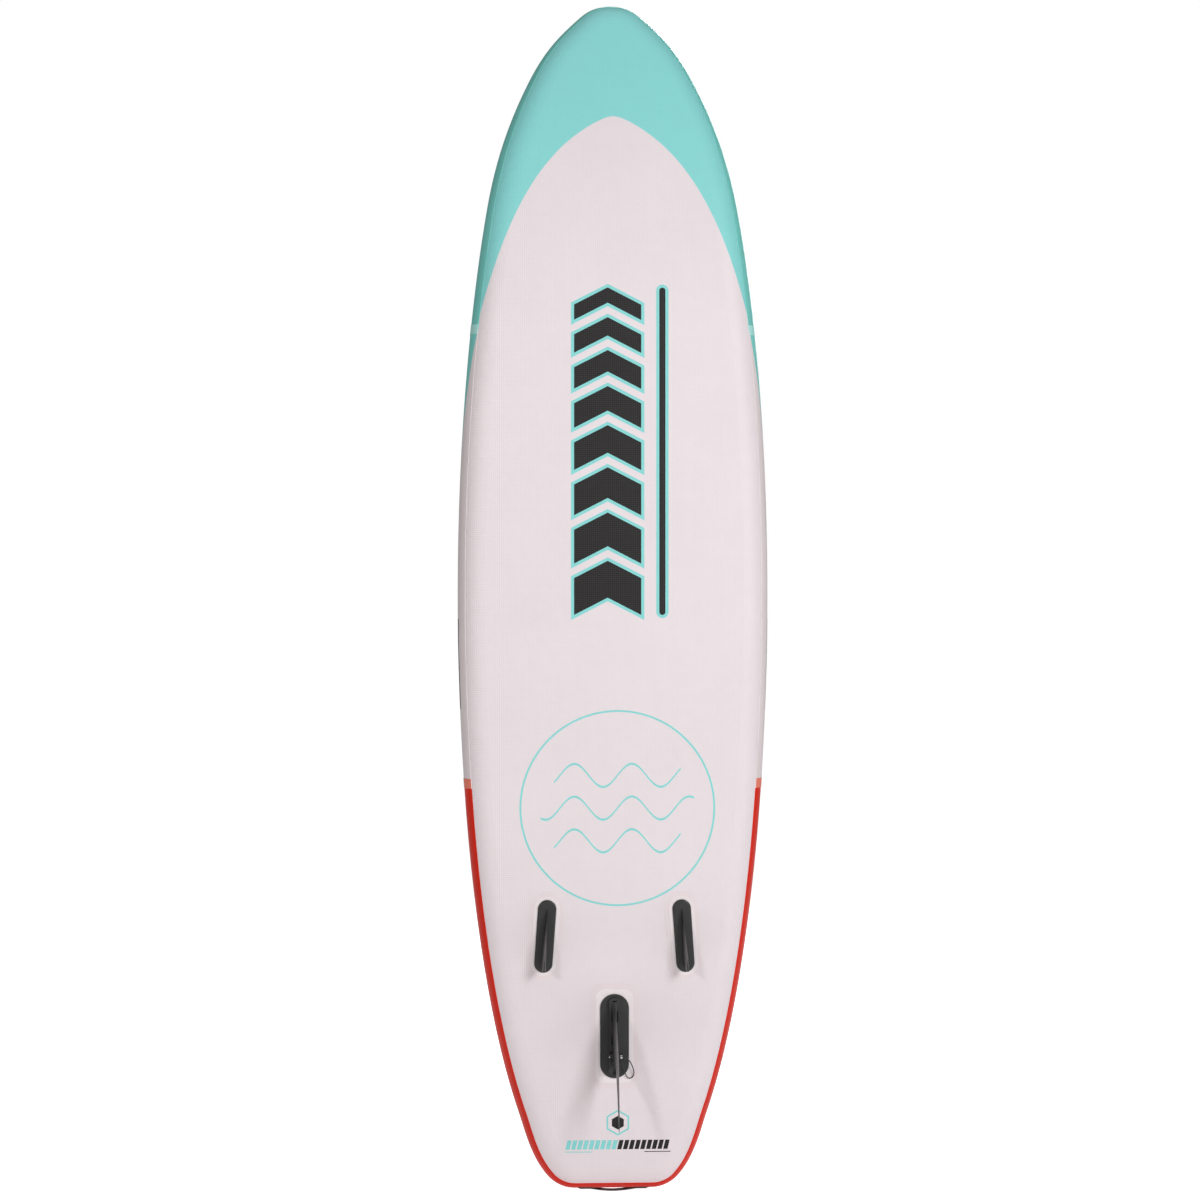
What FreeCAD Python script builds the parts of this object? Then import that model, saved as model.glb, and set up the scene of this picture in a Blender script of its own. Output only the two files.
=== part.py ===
"""Inflatable stand up paddleboard: drop-stitch hull with taped rails, three fins, deck pad and fittings.

Millimetres. The board stands upright: +Z runs to the nose, the hull faces -Y, the deck faces +Y.
The origin is the middle of the tail's end, half way between hull and deck.

The board's body is a thin flat core, bent up at the nose, with a round shell grown all round it.
Each layer of the wall is the space between two such shells, so every layer follows the one below.
Fittings are drawn flat, in a frame of their own (x across, y to the nose, z away from the board),
and then put in their place on the hull or the deck.
"""
import FreeCAD, Part
import Sketcher
import math
import os

Vector = FreeCAD.Vector
Rotation = FreeCAD.Rotation
Placement = FreeCAD.Placement

DIMENSIONS = {
    # board
    "board_length": 3117, "board_width": 813, "board_thickness": 152, "rail_radius": 70,
    # plan outline, measured from the tail's end, or from the nose where it says so
    "tail_half": 100.7, "tail_corner_radius": 94.3, "tail_corner_turn": 47.6,
    "hip_half": 247.8, "hip_height": 199.5, "hip_angle": 18.85, "widest_height": 1557.7,
    "shoulder_half": 328.5, "shoulder_from_nose": 546.5, "shoulder_angle": 9.9, "nose_blunt": 126.7,
    # nose rocker: length of the bent part and the radius of its bend
    "rocker_length": 860, "rocker_radius": 2640,
    # wall
    "tape_thickness": 1, "skin_thickness": 1.2, "tape_half": 53, "skin_wrap_half": 35,
    "joint_strip_thickness": 0.8, "joint_strip_width": 25,
    "tail_tape_top": 1048, "nose_tape_from_nose": 860,
    "yarn_radius": 1.5, "yarn_pitch": 110, "yarn_margin": 90,
    # patches and webbing
    "patch_thickness": 1.2, "webbing_thickness": 1.6, "webbing_width": 25, "seat_gap": 0.1,
    # steel rings
    "ring_wire": 2.5, "ring_half_width": 22, "ring_corner": 6, "ring_clearance": 0.08, "loop_tail": 24,
    "leash_height": 150, "leash_patch_radius": 40, "tow_from_nose": 330, "tow_patch_radius": 36,
    "seat_patch_radius": 28, "seat_ring_in": 100, "seat_low": 1120, "seat_high": 1700,
    # deck pad
    "pad_bottom": 330, "pad_top": 1830, "pad_margin": 136, "pad_thickness": 5, "pad_corner": 60,
    "pad_window_length": 392, "pad_window_width": 84, "kick_length": 46, "kick_height": 22,
    "kick_width": 300, "kick_up": 14,
    # carry handle
    "carry_height": 1480, "carry_span": 250, "carry_rise": 34, "carry_width": 38, "carry_thickness": 3,
    "carry_foot": 44, "carry_patch_length": 62, "carry_patch_width": 66,
    "grip_width": 46, "grip_depth": 15, "grip_angle": 26,
    # nose and tail handles
    "nose_handle_from_nose": 190, "nose_span": 110, "nose_rise": 18, "nose_width": 25,
    "tail_span": 120, "tail_rise": 6, "tail_width": 30, "tail_patch_half": 30, "strap_foot": 28,
    # cargo cord
    "cargo_low": 1900, "cargo_high": 2215, "cargo_half": 180, "bungee_radius": 3, "bungee_clearance": 0.5,
    "cargo_patch_radius": 30, "crossing_rise": 8,
    # centre fin box
    "box_height": 406, "box_length": 218, "box_width": 75, "box_base": 4, "block_length": 200,
    "block_width": 30, "block_top": 18, "box_patch_length": 270, "box_patch_width": 122,
    "flange_thickness": 1.4, "box_flange_length": 244, "box_flange_width": 98,
    "slot_front": 93, "slot_back": 98, "tongue_width": 18, "tongue_floor": 6, "lip_under": 11,
    "throat_width": 10.8, "fin_clearance": 0.3, "tab_length": 22, "tab_pitch": 60, "first_tab": 76,
    "fin_travel": 24, "notch_spare": 2,
    # lock pin
    "pin_radius": 3, "pin_clearance": 0.08, "pin_back": 51, "pin_up": 27, "lug_length": 18,
    "lug_thickness": 7.6, "lug_top": 34, "pin_head_radius": 5.5, "pin_head_length": 5, "pin_overrun": 3,
    "pin_play": 7.6, "pin_cord_radius": 1.4,
    # centre fin blade
    "fin_depth": 212, "fin_thickness": 9.6,
    # side fins
    "side_fin_x": 180, "side_fin_height": 666, "side_fin_toe": 4, "side_base_length": 189,
    "side_base_width": 48, "side_base_height": 6, "side_fin_depth": 78, "side_flange_over": 9,
    "side_patch_over": 20,
    # valve
    "valve_height": 250, "valve_flange": 33, "valve_flange_height": 5, "valve_neck": 24.8, "valve_port": 20,
    "valve_depth": 34, "gasket_thickness": 1, "valve_hole": 25, "port_depth": 22, "port_lip": 8.5,
    "port_step": 1, "seat_thickness": 3, "cap_recess": 2, "recess_step": 1.5,
    "seat_radius": 12, "hub_radius": 6, "stem_radius": 3, "stem_clearance": 0.05, "disc_radius": 15,
    "disc_thickness": 3, "seal_thickness": 2, "button_radius": 9, "button_thickness": 4, "poppet_travel": 5,
    "nut_radius": 36, "nut_height": 6, "cap_radius": 34, "cap_height": 6, "plug_gap": 0.7, "plug_depth": 1.5,
    "hinge_out": 42, "hinge_up": 5, "hinge_pin_radius": 1.2, "knuckle_radius": 3, "knuckle_half": 4,
    "ear_thickness": 4, "ear_gap": 0.4, "tether_thickness": 2.5,
}

doc = FreeCAD.newDocument("paddleboard")
dim = doc.addObject("Spreadsheet::Sheet", "dim")
for row, (name, value) in enumerate(DIMENSIONS.items(), start=1):
    dim.set(f"A{row}", name)
    dim.set(f"B{row}", str(value))
    dim.setAlias(f"B{row}", name)
doc.recompute()

nodes = {}


def size(expression):
    """The value of a sum of sheet names, such as "tape_thickness + skin_thickness"."""
    return float(dim.evalExpression(bound(expression)))


def bound(expression):
    """The same sum written for setExpression, with each name looked up in the sheet."""
    words = []
    for word in str(expression).replace("(", "( ").replace(")", " )").split():
        sign = "-" if word.startswith("-") and len(word) > 1 else ""
        bare = word[len(sign):]
        words.append(sign + ("dim." + bare if bare in DIMENSIONS else bare))
    return " ".join(words)


# ---------------------------------------------------------------- ways to make a piece

def primitive(kind, name, at=("0", "0", "0"), turn=None, **sizes):
    """A Part primitive with its sizes and its place tied to the sheet."""
    item = doc.addObject("Part::" + kind, name)
    if turn:
        item.Placement = Placement(Vector(), Rotation(Vector(*turn[0]), turn[1]))
    for key, expression in sizes.items():
        item.setExpression(key, bound(expression))
    for axis, expression in zip("xyz", at):
        item.setExpression("Placement.Base." + axis, bound(expression))
    return item


def box(name, length, width, height, centre=("0", "0"), base="0"):
    """A box centred on a point of the plane and standing on the height base."""
    at = (f"{centre[0]} - ( {length} ) / 2", f"{centre[1]} - ( {width} ) / 2", base)
    return primitive("Box", name, at, Length=length, Width=width, Height=height)


def rod(name, radius, length, at, along):
    """A cylinder that starts at a point and runs along x, y or z."""
    turns = {"x": ((0, 1, 0), 90), "y": ((1, 0, 0), -90), "z": None}
    return primitive("Cylinder", name, at, turns[along], Radius=radius, Height=length)


def fuse(name, *pieces):
    item = doc.addObject("Part::MultiFuse", name)
    item.Shapes = list(pieces)
    return item


def cut(name, base, *tools):
    item = doc.addObject("Part::Cut", name)
    item.Base = base
    item.Tool = tools[0] if len(tools) == 1 else fuse(name + "_tools", *tools)
    return item


def feature(name, shape):
    """A free-form piece, from a shape worked out with Part's own functions."""
    item = doc.addObject("Part::Feature", name)
    item.Shape = shape
    return item


def rounded(name, base, radius, wanted):
    """The piece with the edges that wanted() picks rounded off."""
    doc.recompute()
    item = doc.addObject("Part::Fillet", name)
    item.Base = base
    item.Edges = [(i, radius, radius) for i, edge in enumerate(base.Shape.Edges, start=1) if wanted(edge)]
    return item


def upright(edge):
    """True for an edge that runs straight along z."""
    run = edge.Vertexes[-1].Point - edge.Vertexes[0].Point
    return abs(run.z) > 0.99 * edge.Length and edge.Length > 0


def outline_sketch(body, name, role, points):
    """A closed outline of straight lines in a body, each corner tied to the sheet."""
    plane = next(item for item in body.Origin.OriginFeatures if item.Role == role)
    sketch = body.newObject("Sketcher::SketchObject", name)
    sketch.AttachmentSupport = (plane, [""])
    sketch.MapMode = "FlatFace"
    corners = [Vector(size(across), size(up), 0) for across, up in points]
    count = len(corners)
    for i in range(count):
        sketch.addGeometry(Part.LineSegment(corners[i], corners[(i + 1) % count]), False)
    for i in range(count):
        sketch.addConstraint(Sketcher.Constraint("Coincident", i, 2, (i + 1) % count, 1))
    for i, (across, up) in enumerate(points):
        places = (("DistanceX", across, corners[i].x), ("DistanceY", up, corners[i].y))
        for kind, expression, value in places:
            number = sketch.addConstraint(Sketcher.Constraint(kind, -1, 1, i, 1, value))
            label = f"{kind}{i}"
            sketch.renameConstraint(number, label)
            sketch.setExpression("Constraints." + label, bound(expression))
    return sketch


def turned(name, points):
    """A body of revolution about z, from the half section's corners (radius, height)."""
    body = doc.addObject("PartDesign::Body", name)
    sketch = outline_sketch(body, name + "_section", "XZ_Plane", points)
    doc.recompute()
    turn = body.newObject("PartDesign::Revolution", name + "_turn")
    turn.Profile = sketch
    turn.ReferenceAxis = (sketch, ["V_Axis"])
    turn.Angle = 360
    return body


def padded(name, role, points, length):
    """An outline padded to both sides of its plane by half the length."""
    body = doc.addObject("PartDesign::Body", name)
    sketch = outline_sketch(body, name + "_outline", role, points)
    pad = body.newObject("PartDesign::Pad", name + "_pad")
    pad.Profile = sketch
    pad.Midplane = True
    pad.setExpression("Length", bound(length))
    return body


def put(name, item, frame=None):
    """Names a finished piece as a sub-part and puts it in its place on the board."""
    if frame:
        item.Placement = frame
    item.Label = name
    nodes[name] = item
    return item


def put_copies(name, source, frames):
    """One sub-part of several like pieces, one at each frame."""
    doc.recompute()
    copies = []
    for frame in frames:
        copy = source.Shape.copy()
        copy.Placement = frame.multiply(copy.Placement)
        copies.append(copy)
    return put(name, feature(name + "_set", Part.makeCompound(copies)))


# ---------------------------------------------------------------- the board's shape

LENGTH = size("board_length")
HALF_THICK = size("board_thickness") / 2
ROCKER_START = LENGTH - size("rocker_length")
ROCKER_RADIUS = size("rocker_radius")
RAIL = size("rail_radius")
SKIN_INSET = size("tape_thickness")
SKIN_INNER = size("tape_thickness + skin_thickness")
SPAN = size("board_width")
CURVE_STEPS = 5


def along(point, angle, distance):
    """The point at a distance from another, at an angle from straight up (plan: across, up)."""
    return (point[0] + distance * math.sin(angle), point[1] + distance * math.cos(angle))


def side_curves():
    """The right side of the plan outline, from the tail corner to the nose, as free curves."""
    tail, radius = size("tail_half"), size("tail_corner_radius")
    turn = math.radians(size("tail_corner_turn"))
    corner = (tail + radius * math.sin(turn), radius * (1 - math.cos(turn)))
    hip = (size("hip_half"), size("hip_height"))
    hip_lean = math.radians(size("hip_angle"))
    widest = (SPAN / 2, size("widest_height"))
    shoulder = (size("shoulder_half"), LENGTH - size("shoulder_from_nose"))
    shoulder_lean = -math.radians(size("shoulder_angle"))
    corner_run = hip[1] - corner[1]
    low_run = widest[1] - hip[1]
    high_run = shoulder[1] - widest[1]
    nose_run = LENGTH - shoulder[1]
    corner_lean = math.pi / 2 - turn
    return (
        (corner, along(corner, corner_lean, 0.40 * corner_run),
         along(hip, hip_lean, -0.30 * corner_run), hip),
        (hip, along(hip, hip_lean, 0.28 * low_run),
         along(widest, 0, -0.31 * low_run), widest),
        (widest, along(widest, 0, 0.42 * high_run),
         along(shoulder, shoulder_lean, -0.23 * high_run), shoulder),
        (shoulder, along(shoulder, shoulder_lean, 0.54 * nose_run),
         (size("nose_blunt"), LENGTH), (0, LENGTH)),
    )


def inset_curve(points, inset, side):
    """One free curve of the outline, drawn in by inset, on the right (1) or left (-1) side."""
    curve = Part.BezierCurve()
    curve.setPoles([Vector(across, 0, up) for across, up in points])
    places, headings = [], []
    for step in range(CURVE_STEPS + 1):
        share = step / CURVE_STEPS
        heading = curve.tangent(share)[0].normalize()
        inward = Vector(-heading.z, 0, heading.x)
        place = curve.value(share) + inward * inset
        places.append(Vector(side * place.x, 0, place.z))
        headings.append(Vector(side * heading.x, 0, heading.z))
    spline = Part.BSplineCurve()
    spline.interpolate(Points=places, InitialTangent=headings[0], FinalTangent=headings[-1])
    return spline.toShape()


def plan_outline(inset):
    """The board's outline in plan, drawn in by inset: a straight tail, round corners, free sides."""
    tail, radius = size("tail_half"), size("tail_corner_radius")
    turn = math.radians(size("tail_corner_turn"))
    edges = [Part.makeLine(Vector(-tail, 0, inset), Vector(tail, 0, inset))]
    inner = radius - inset
    for side in (1, -1):
        arc = [
            Vector(side * (tail + inner * math.sin(angle)), 0, radius - inner * math.cos(angle))
            for angle in (0, turn / 2, turn)
        ]
        edges.append(Part.Arc(*arc).toShape())
        edges += [inset_curve(points, inset, side) for points in side_curves()]
    return Part.Wire(Part.__sortEdges__(edges))


def side_band(half):
    """A slab of the board's side view, straight and then bent at the nose, wider than the board."""
    reach = SPAN
    bend = math.asin((LENGTH - ROCKER_START) / ROCKER_RADIUS) * 1.2

    def bent(radius, angle):
        depth = ROCKER_RADIUS - radius * math.cos(angle)
        return Vector(-reach, depth, ROCKER_START + radius * math.sin(angle))

    outer, inner = ROCKER_RADIUS + half, ROCKER_RADIUS - half
    low = -HALF_THICK * 2
    edges = [
        Part.makeLine(Vector(-reach, half, low), Vector(-reach, half, ROCKER_START)),
        Part.Arc(bent(inner, 0), bent(inner, bend / 2), bent(inner, bend)).toShape(),
        Part.makeLine(bent(inner, bend), bent(outer, bend)),
        Part.Arc(bent(outer, bend), bent(outer, bend / 2), bent(outer, 0)).toShape(),
        Part.makeLine(Vector(-reach, -half, ROCKER_START), Vector(-reach, -half, low)),
        Part.makeLine(Vector(-reach, -half, low), Vector(-reach, half, low)),
    ]
    return Part.Face(Part.Wire(edges)).extrude(Vector(2 * reach, 0, 0))


def plan_prism(inset, low, high):
    """The plan outline as a solid between two depths in Y."""
    solid = Part.Face(plan_outline(inset)).extrude(Vector(0, high - low, 0))
    solid.translate(Vector(0, low, 0))
    return solid


DEPTH = 4 * HALF_THICK + size("rocker_length") ** 2 / ROCKER_RADIUS
core = plan_prism(RAIL, -DEPTH, DEPTH).common(side_band(HALF_THICK - RAIL)).Solids[0]


def board_solid(inset):
    """The whole board's outside, drawn in by inset (or grown, where inset is negative)."""
    return core.makeOffsetShape(RAIL - inset, 1e-3, False, False, 0, 0)


def slab(low, high):
    """Everything between two heights of the board."""
    return Part.makeBox(2 * SPAN, 2 * DEPTH, high - low, Vector(-SPAN, -DEPTH, low))


def deck_frame(height, across=0, spin=0):
    """The frame of a fitting on the deck: x to -X, y to the nose, z out of the deck."""
    half = HALF_THICK - SKIN_INSET
    radius = ROCKER_RADIUS - half
    lean = math.asin(max(0, height - ROCKER_START) / radius)
    base = Vector(across, ROCKER_RADIUS - radius * math.cos(lean), height)
    to_nose = Vector(0, math.sin(lean), math.cos(lean))
    out = Vector(0, math.cos(lean), -math.sin(lean))
    frame = Placement(base, Rotation(Vector(-1, 0, 0), to_nose, out, "ZYX"))
    return frame.multiply(Placement(Vector(), Rotation(Vector(0, 0, 1), spin)))


def hull_frame(height, across=0, spin=0):
    """The frame of a fitting on the flat of the hull: x to X, y to the nose, z out of the hull."""
    base = Vector(across, SKIN_INSET - HALF_THICK, height)
    frame = Placement(base, Rotation(Vector(1, 0, 0), Vector(0, 0, 1), Vector(0, -1, 0), "ZYX"))
    return frame.multiply(Placement(Vector(), Rotation(Vector(0, 0, 1), spin)))


UPRIGHT = Rotation(Vector(-1, 0, 0), Vector(0, 0, 1), Vector(0, 1, 0), "ZYX")
TAIL_TURN = Rotation(Vector(1, 0, 0), Vector(0, -1, 0), Vector(0, 0, -1), "ZYX")
TAIL_FRAME = Placement(Vector(0, 0, 0), TAIL_TURN)

# ---------------------------------------------------------------- wall of the board

outside = board_solid(0)
skin_outside = board_solid(SKIN_INSET)
skin_inside = board_solid(SKIN_INNER)
joint_outside = board_solid(-size("joint_strip_thickness"))

VALVE_FRAME = deck_frame(size("valve_height"), 0, 90)
valve_hole = Part.makeCylinder(size("valve_hole"), 4 * SKIN_INNER, Vector(0, 0, -2 * SKIN_INNER))
valve_hole.Placement = VALVE_FRAME.multiply(valve_hole.Placement)

skin = skin_outside.cut(skin_inside)
panels = sorted(skin.cut(side_band(size("skin_wrap_half"))).Solids, key=lambda solid: solid.CenterOfMass.y)
put("hull_skin", feature("hull_panel", panels[0]))
put("deck_skin", feature("deck_panel", panels[-1].cut(valve_hole).Solids[0]))
put("side_wall", feature("side_strip", skin.common(side_band(size("skin_wrap_half"))).Solids[0]))

TAPE_TOP = size("tail_tape_top")
NOSE_TAPE = LENGTH - size("nose_tape_from_nose")
STRIP = size("joint_strip_width")
tape_band = side_band(size("tape_half"))
tape = outside.cut(skin_outside).common(tape_band)
put("rail_tape_tail", feature("tail_tape", tape.common(slab(-DEPTH, TAPE_TOP)).Solids[0]))
put("rail_tape_nose", feature("nose_tape", tape.common(slab(NOSE_TAPE, LENGTH + DEPTH)).Solids[0]))
sides = sorted(tape.common(slab(TAPE_TOP, NOSE_TAPE)).Solids, key=lambda solid: solid.CenterOfMass.x)
put("rail_tape_left", feature("left_tape", sides[0]))
put("rail_tape_right", feature("right_tape", sides[1]))
strip = joint_outside.cut(outside).common(tape_band)
put("tape_joints_tail", feature("tail_joints", strip.common(slab(TAPE_TOP, TAPE_TOP + STRIP))))
put("tape_joints_nose", feature("nose_joints", strip.common(slab(NOSE_TAPE - STRIP, NOSE_TAPE))))


def yarn_places():
    """The rows of yarns that lie well inside the outline and clear of the valve."""
    pitch = size("yarn_pitch")
    inside = Part.Face(plan_outline(size("yarn_margin")))
    valve = Vector(0, 0, size("valve_height"))
    keep_off = size("nut_radius + 4 * yarn_radius")
    rows = int(LENGTH // pitch)
    columns = int(SPAN / 2 // pitch)
    for row in range(1, rows + 1):
        for column in range(-columns, columns + 1):
            spot = Vector(column * pitch, 0, row * pitch)
            if inside.isInside(spot, 0.01, True) and spot.distanceToPoint(valve) > keep_off:
                yield spot


def yarn(spot):
    """One bundle of yarns, square to both skins and reaching from one to the other."""
    length = 2 * (HALF_THICK - SKIN_INNER)
    solid = Part.makeCylinder(size("yarn_radius"), length, Vector(0, 0, SKIN_INSET - SKIN_INNER - length))
    solid.Placement = deck_frame(spot.z, spot.x).multiply(solid.Placement)
    return solid


put("drop_stitch_yarns", feature("yarns", Part.makeCompound([yarn(spot) for spot in yarn_places()])))

# ---------------------------------------------------------------- rings in webbing loops

BAR_UP = "patch_thickness + webbing_thickness + ring_clearance + ring_wire"


def webbing_loop(name, bar, clearance, width, tail, lift="0"):
    """Webbing folded round a bar that lies along x, with both ends sewn flat on a patch."""
    outer = f"{bar} + {clearance} + webbing_thickness"
    up = f"patch_thickness + {lift} + {outer}"
    half = f"-( {width} ) / 2"
    around = rod(name + "_around", outer, width, (half, "0", up), "x")
    ends = box(name + "_ends", width, tail, "2 * webbing_thickness", ("0", f"( {tail} ) / 2"),
               f"patch_thickness + {lift}")
    hole = rod(name + "_hole", f"{bar} + {clearance}", width, (half, "0", up), "x")
    return cut(name, fuse(name + "_web", around, ends), hole)


def steel_ring(name):
    """A D of round wire about its own straight bar; the bow hangs towards -y."""
    half, corner, wire = size("ring_half_width"), size("ring_corner"), size("ring_wire")
    slant = corner * (1 - math.sqrt(0.5))

    def point(x, y):
        return Vector(x, y, 0)

    edges = [
        Part.makeLine(point(corner - half, 0), point(half - corner, 0)),
        Part.Arc(point(half - corner, 0), point(half - slant, -slant), point(half, -corner)).toShape(),
        Part.Arc(point(half, -corner), point(0, -corner - half), point(-half, -corner)).toShape(),
        Part.Arc(point(-half, -corner), point(slant - half, -slant), point(corner - half, 0)).toShape(),
    ]
    section = Part.Wire(Part.makeCircle(wire, point(corner - half, 0), Vector(1, 0, 0)))
    return feature(name, Part.Wire(edges).makePipeShell([section], True, False))


SEAT_GAP = size("seat_gap")
ring_loop = webbing_loop(
    "ring_loop", "ring_wire", "ring_clearance", "webbing_width", "loop_tail", "seat_gap")


def hang_ring(name, frame):
    """A ring with its bar in the webbing loop at a frame, and its bow straight down."""
    bar = frame.multVec(Vector(0, 0, size(BAR_UP) + SEAT_GAP))
    return put(name, steel_ring(name + "_wire"), Placement(bar, UPRIGHT))


LEASH_FRAME = deck_frame(size("leash_height"))
leash_patch = rod("leash_patch", "leash_patch_radius", "patch_thickness", ("0", "0", "0"), "z")
put_copies("leash_ring_patch", leash_patch, [LEASH_FRAME])
put_copies("leash_ring_loop", ring_loop, [LEASH_FRAME])
hang_ring("leash_ring", LEASH_FRAME)


def deck_patch(name, tool):
    """A patch welded to a curved part of the skin: the layer on the skin, cut to a footprint."""
    layer = board_solid(SKIN_INSET - size("patch_thickness")).cut(skin_outside)
    return feature(name, layer.common(tool))


def standing(shape, frame):
    """A footprint solid, drawn about z, moved to a frame."""
    shape.Placement = frame.multiply(shape.Placement)
    return shape


PATCH_REACH = 20 * size("patch_thickness")
TOW_FRAME = deck_frame(LENGTH - size("tow_from_nose"))
tow_print = Part.makeCylinder(size("tow_patch_radius"), 2 * PATCH_REACH, Vector(0, 0, -PATCH_REACH))
put("tow_ring_patch", deck_patch("tow_patch", standing(tow_print, TOW_FRAME)))
put_copies("tow_ring_loop", ring_loop, [TOW_FRAME])
hang_ring("tow_ring", TOW_FRAME)

SEAT_X = SPAN / 2 - size("seat_ring_in")
SEAT_FRAMES = [
    deck_frame(size(height), side * SEAT_X)
    for height in ("seat_low", "seat_high")
    for side in (-1, 1)
]
seat_patch = rod("seat_patch", "seat_patch_radius", "patch_thickness", ("0", "0", "0"), "z")
put_copies("seat_ring_patches", seat_patch, SEAT_FRAMES)
put_copies("seat_ring_loops", ring_loop, SEAT_FRAMES)
for number, frame in enumerate(SEAT_FRAMES, start=1):
    hang_ring(f"seat_ring_{number}", frame)

# ---------------------------------------------------------------- deck pad

pad_low, pad_high = size("pad_bottom"), size("pad_top")
pad_back = HALF_THICK - SKIN_INSET


def pad_plan():
    """The board's middle in plan, drawn in by the pad's margin, from the hip to the shoulder."""
    edges, ends = [], []
    for side in (1, -1):
        curves = [inset_curve(points, size("pad_margin"), side) for points in side_curves()[1:3]]
        edges += curves
        corners = [vertex.Point for curve in curves for vertex in curve.Vertexes]
        heights = sorted(corners, key=lambda point: point.z)
        ends.append((heights[0], heights[-1]))
    edges += [Part.makeLine(ends[0][i], ends[1][i]) for i in (0, 1)]
    return Part.Face(Part.Wire(Part.__sortEdges__(edges)))


pad_corner = Vector(-SPAN / 2, pad_back, pad_low)
pad_blank = Part.makeBox(SPAN, size("pad_thickness"), pad_high - pad_low, pad_corner)
pad_prism = pad_plan().extrude(Vector(0, 2 * HALF_THICK, 0))
pad_raw = feature("pad_raw", pad_prism.common(pad_blank).Solids[0])


def pad_corners(edge):
    """True for the four short upright corners of the pad at its lower and upper ends."""
    middle = edge.CenterOfMass
    at_end = min(abs(middle.z - pad_low), abs(middle.z - pad_high)) < 0.01
    return at_end and abs(middle.x) > 1 and abs(edge.Length - size("pad_thickness")) < 0.01


pad_round = rounded("pad_round", pad_raw, size("pad_corner"), pad_corners)
window = box(
    "pad_window", "pad_window_width", "pad_window_length", "2 * pad_thickness",
    base="-pad_thickness / 2")
window_round = rounded("pad_window_round", window, size("pad_window_width") / 4, upright)
window_round.Placement = deck_frame(size("carry_height"))
put("deck_pad", cut("pad_cut", pad_round, window_round))

kick = padded("kick", "YZ_Plane", (
    ("0", "pad_thickness"), ("kick_length", "pad_thickness"),
    ("kick_length * 0.72", "pad_thickness + kick_height * 0.9"),
    ("kick_length * 0.5", "pad_thickness + kick_height"),
    ("kick_length * 0.2", "pad_thickness + kick_height * 0.85"),
), "kick_width")
put("kick_pad", kick, deck_frame(size("pad_bottom + kick_up")))

# ---------------------------------------------------------------- straps and handles


def arch_radius(span, rise):
    return (span ** 2 / 4 + rise ** 2) / (2 * rise)


def strap_arch(name, span, rise, width, thickness, foot, base):
    """A webbing strap along x: a low arch between two feet that lie flat at the height base."""
    radius = arch_radius(span, rise)
    middle = base + rise - radius
    half_angle = math.asin(span / 2 / radius)

    def point(r, angle):
        return Vector(r * math.sin(angle), -width / 2, middle + r * math.cos(angle))

    outer = radius + thickness
    edges = [
        Part.Arc(point(radius, -half_angle), point(radius, 0), point(radius, half_angle)).toShape(),
        Part.makeLine(point(radius, half_angle), point(outer, half_angle)),
        Part.Arc(point(outer, half_angle), point(outer, 0), point(outer, -half_angle)).toShape(),
        Part.makeLine(point(outer, -half_angle), point(radius, -half_angle)),
    ]
    arch = Part.Face(Part.Wire(edges)).extrude(Vector(0, width, 0))
    for side in (-1, 1):
        corner = Vector(side * span / 2 - (foot if side < 0 else 0), -width / 2, base)
        arch = arch.fuse(Part.makeBox(foot, width, thickness, corner))
    return feature(name, arch.removeSplitter())


CARRY_FRAME = deck_frame(size("carry_height"), 0, 90)
carry_base = size("patch_thickness")
carry = [size("carry_" + word) for word in ("span", "rise", "width", "thickness", "foot")]
put("carry_handle_strap", strap_arch("carry_strap", *carry, carry_base), CARRY_FRAME)
carry_out = "carry_span / 2 + carry_foot / 2"
carry_patch = [
    box(f"carry_patch_{word}", "carry_patch_length", "carry_patch_width", "patch_thickness",
        (f"{sign}( {carry_out} )", "0"))
    for word, sign in (("low", "-"), ("high", ""))
]
carry_patches = doc.addObject("Part::Compound", "carry_patch_pair")
carry_patches.Links = [
    rounded(patch.Name + "_round", patch, size("carry_patch_length") / 5, upright)
    for patch in carry_patch
]
put("carry_handle_patches", carry_patches, CARRY_FRAME)


def hand_grip(name):
    """A foam sleeve round the strap: a rounded section turned about the arch's own centre."""
    span, rise, width, thickness = carry[:4]
    radius = arch_radius(span, rise)
    middle = carry_base + rise - radius
    wide, deep = size("grip_width") / 2, size("grip_depth") / 2
    centre = middle + radius + thickness / 2
    ends = wide - deep

    def at(y, z):
        return Vector(0, y, centre + z)

    outer = Part.Wire([
        Part.makeLine(at(-ends, -deep), at(ends, -deep)),
        Part.Arc(at(ends, -deep), at(wide, 0), at(ends, deep)).toShape(),
        Part.makeLine(at(ends, deep), at(-ends, deep)),
        Part.Arc(at(-ends, deep), at(-wide, 0), at(-ends, -deep)).toShape(),
    ])
    half, thin = width / 2, thickness / 2
    corners = [at(-half, -thin), at(half, -thin), at(half, thin), at(-half, thin)]
    slot = Part.makePolygon(corners + corners[:1])
    section = Part.Face(outer).cut(Part.Face(slot))
    angle = size("grip_angle")
    section.rotate(Vector(0, 0, middle), Vector(0, 1, 0), -angle)
    return feature(name, section.revolve(Vector(0, 0, middle), Vector(0, 1, 0), 2 * angle).Solids[0])


put("carry_handle_grip", hand_grip("grip"), CARRY_FRAME)


def footprint_pair(out, length, width, frame):
    """Two box footprints, one each side of a handle's middle, wide enough to take its feet."""
    boxes = []
    for side in (-1, 1):
        corner = Vector(side * out - length / 2, -width / 2, -PATCH_REACH)
        boxes.append(standing(Part.makeBox(length, width, 2 * PATCH_REACH, corner), frame))
    return Part.makeCompound(boxes)


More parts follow.
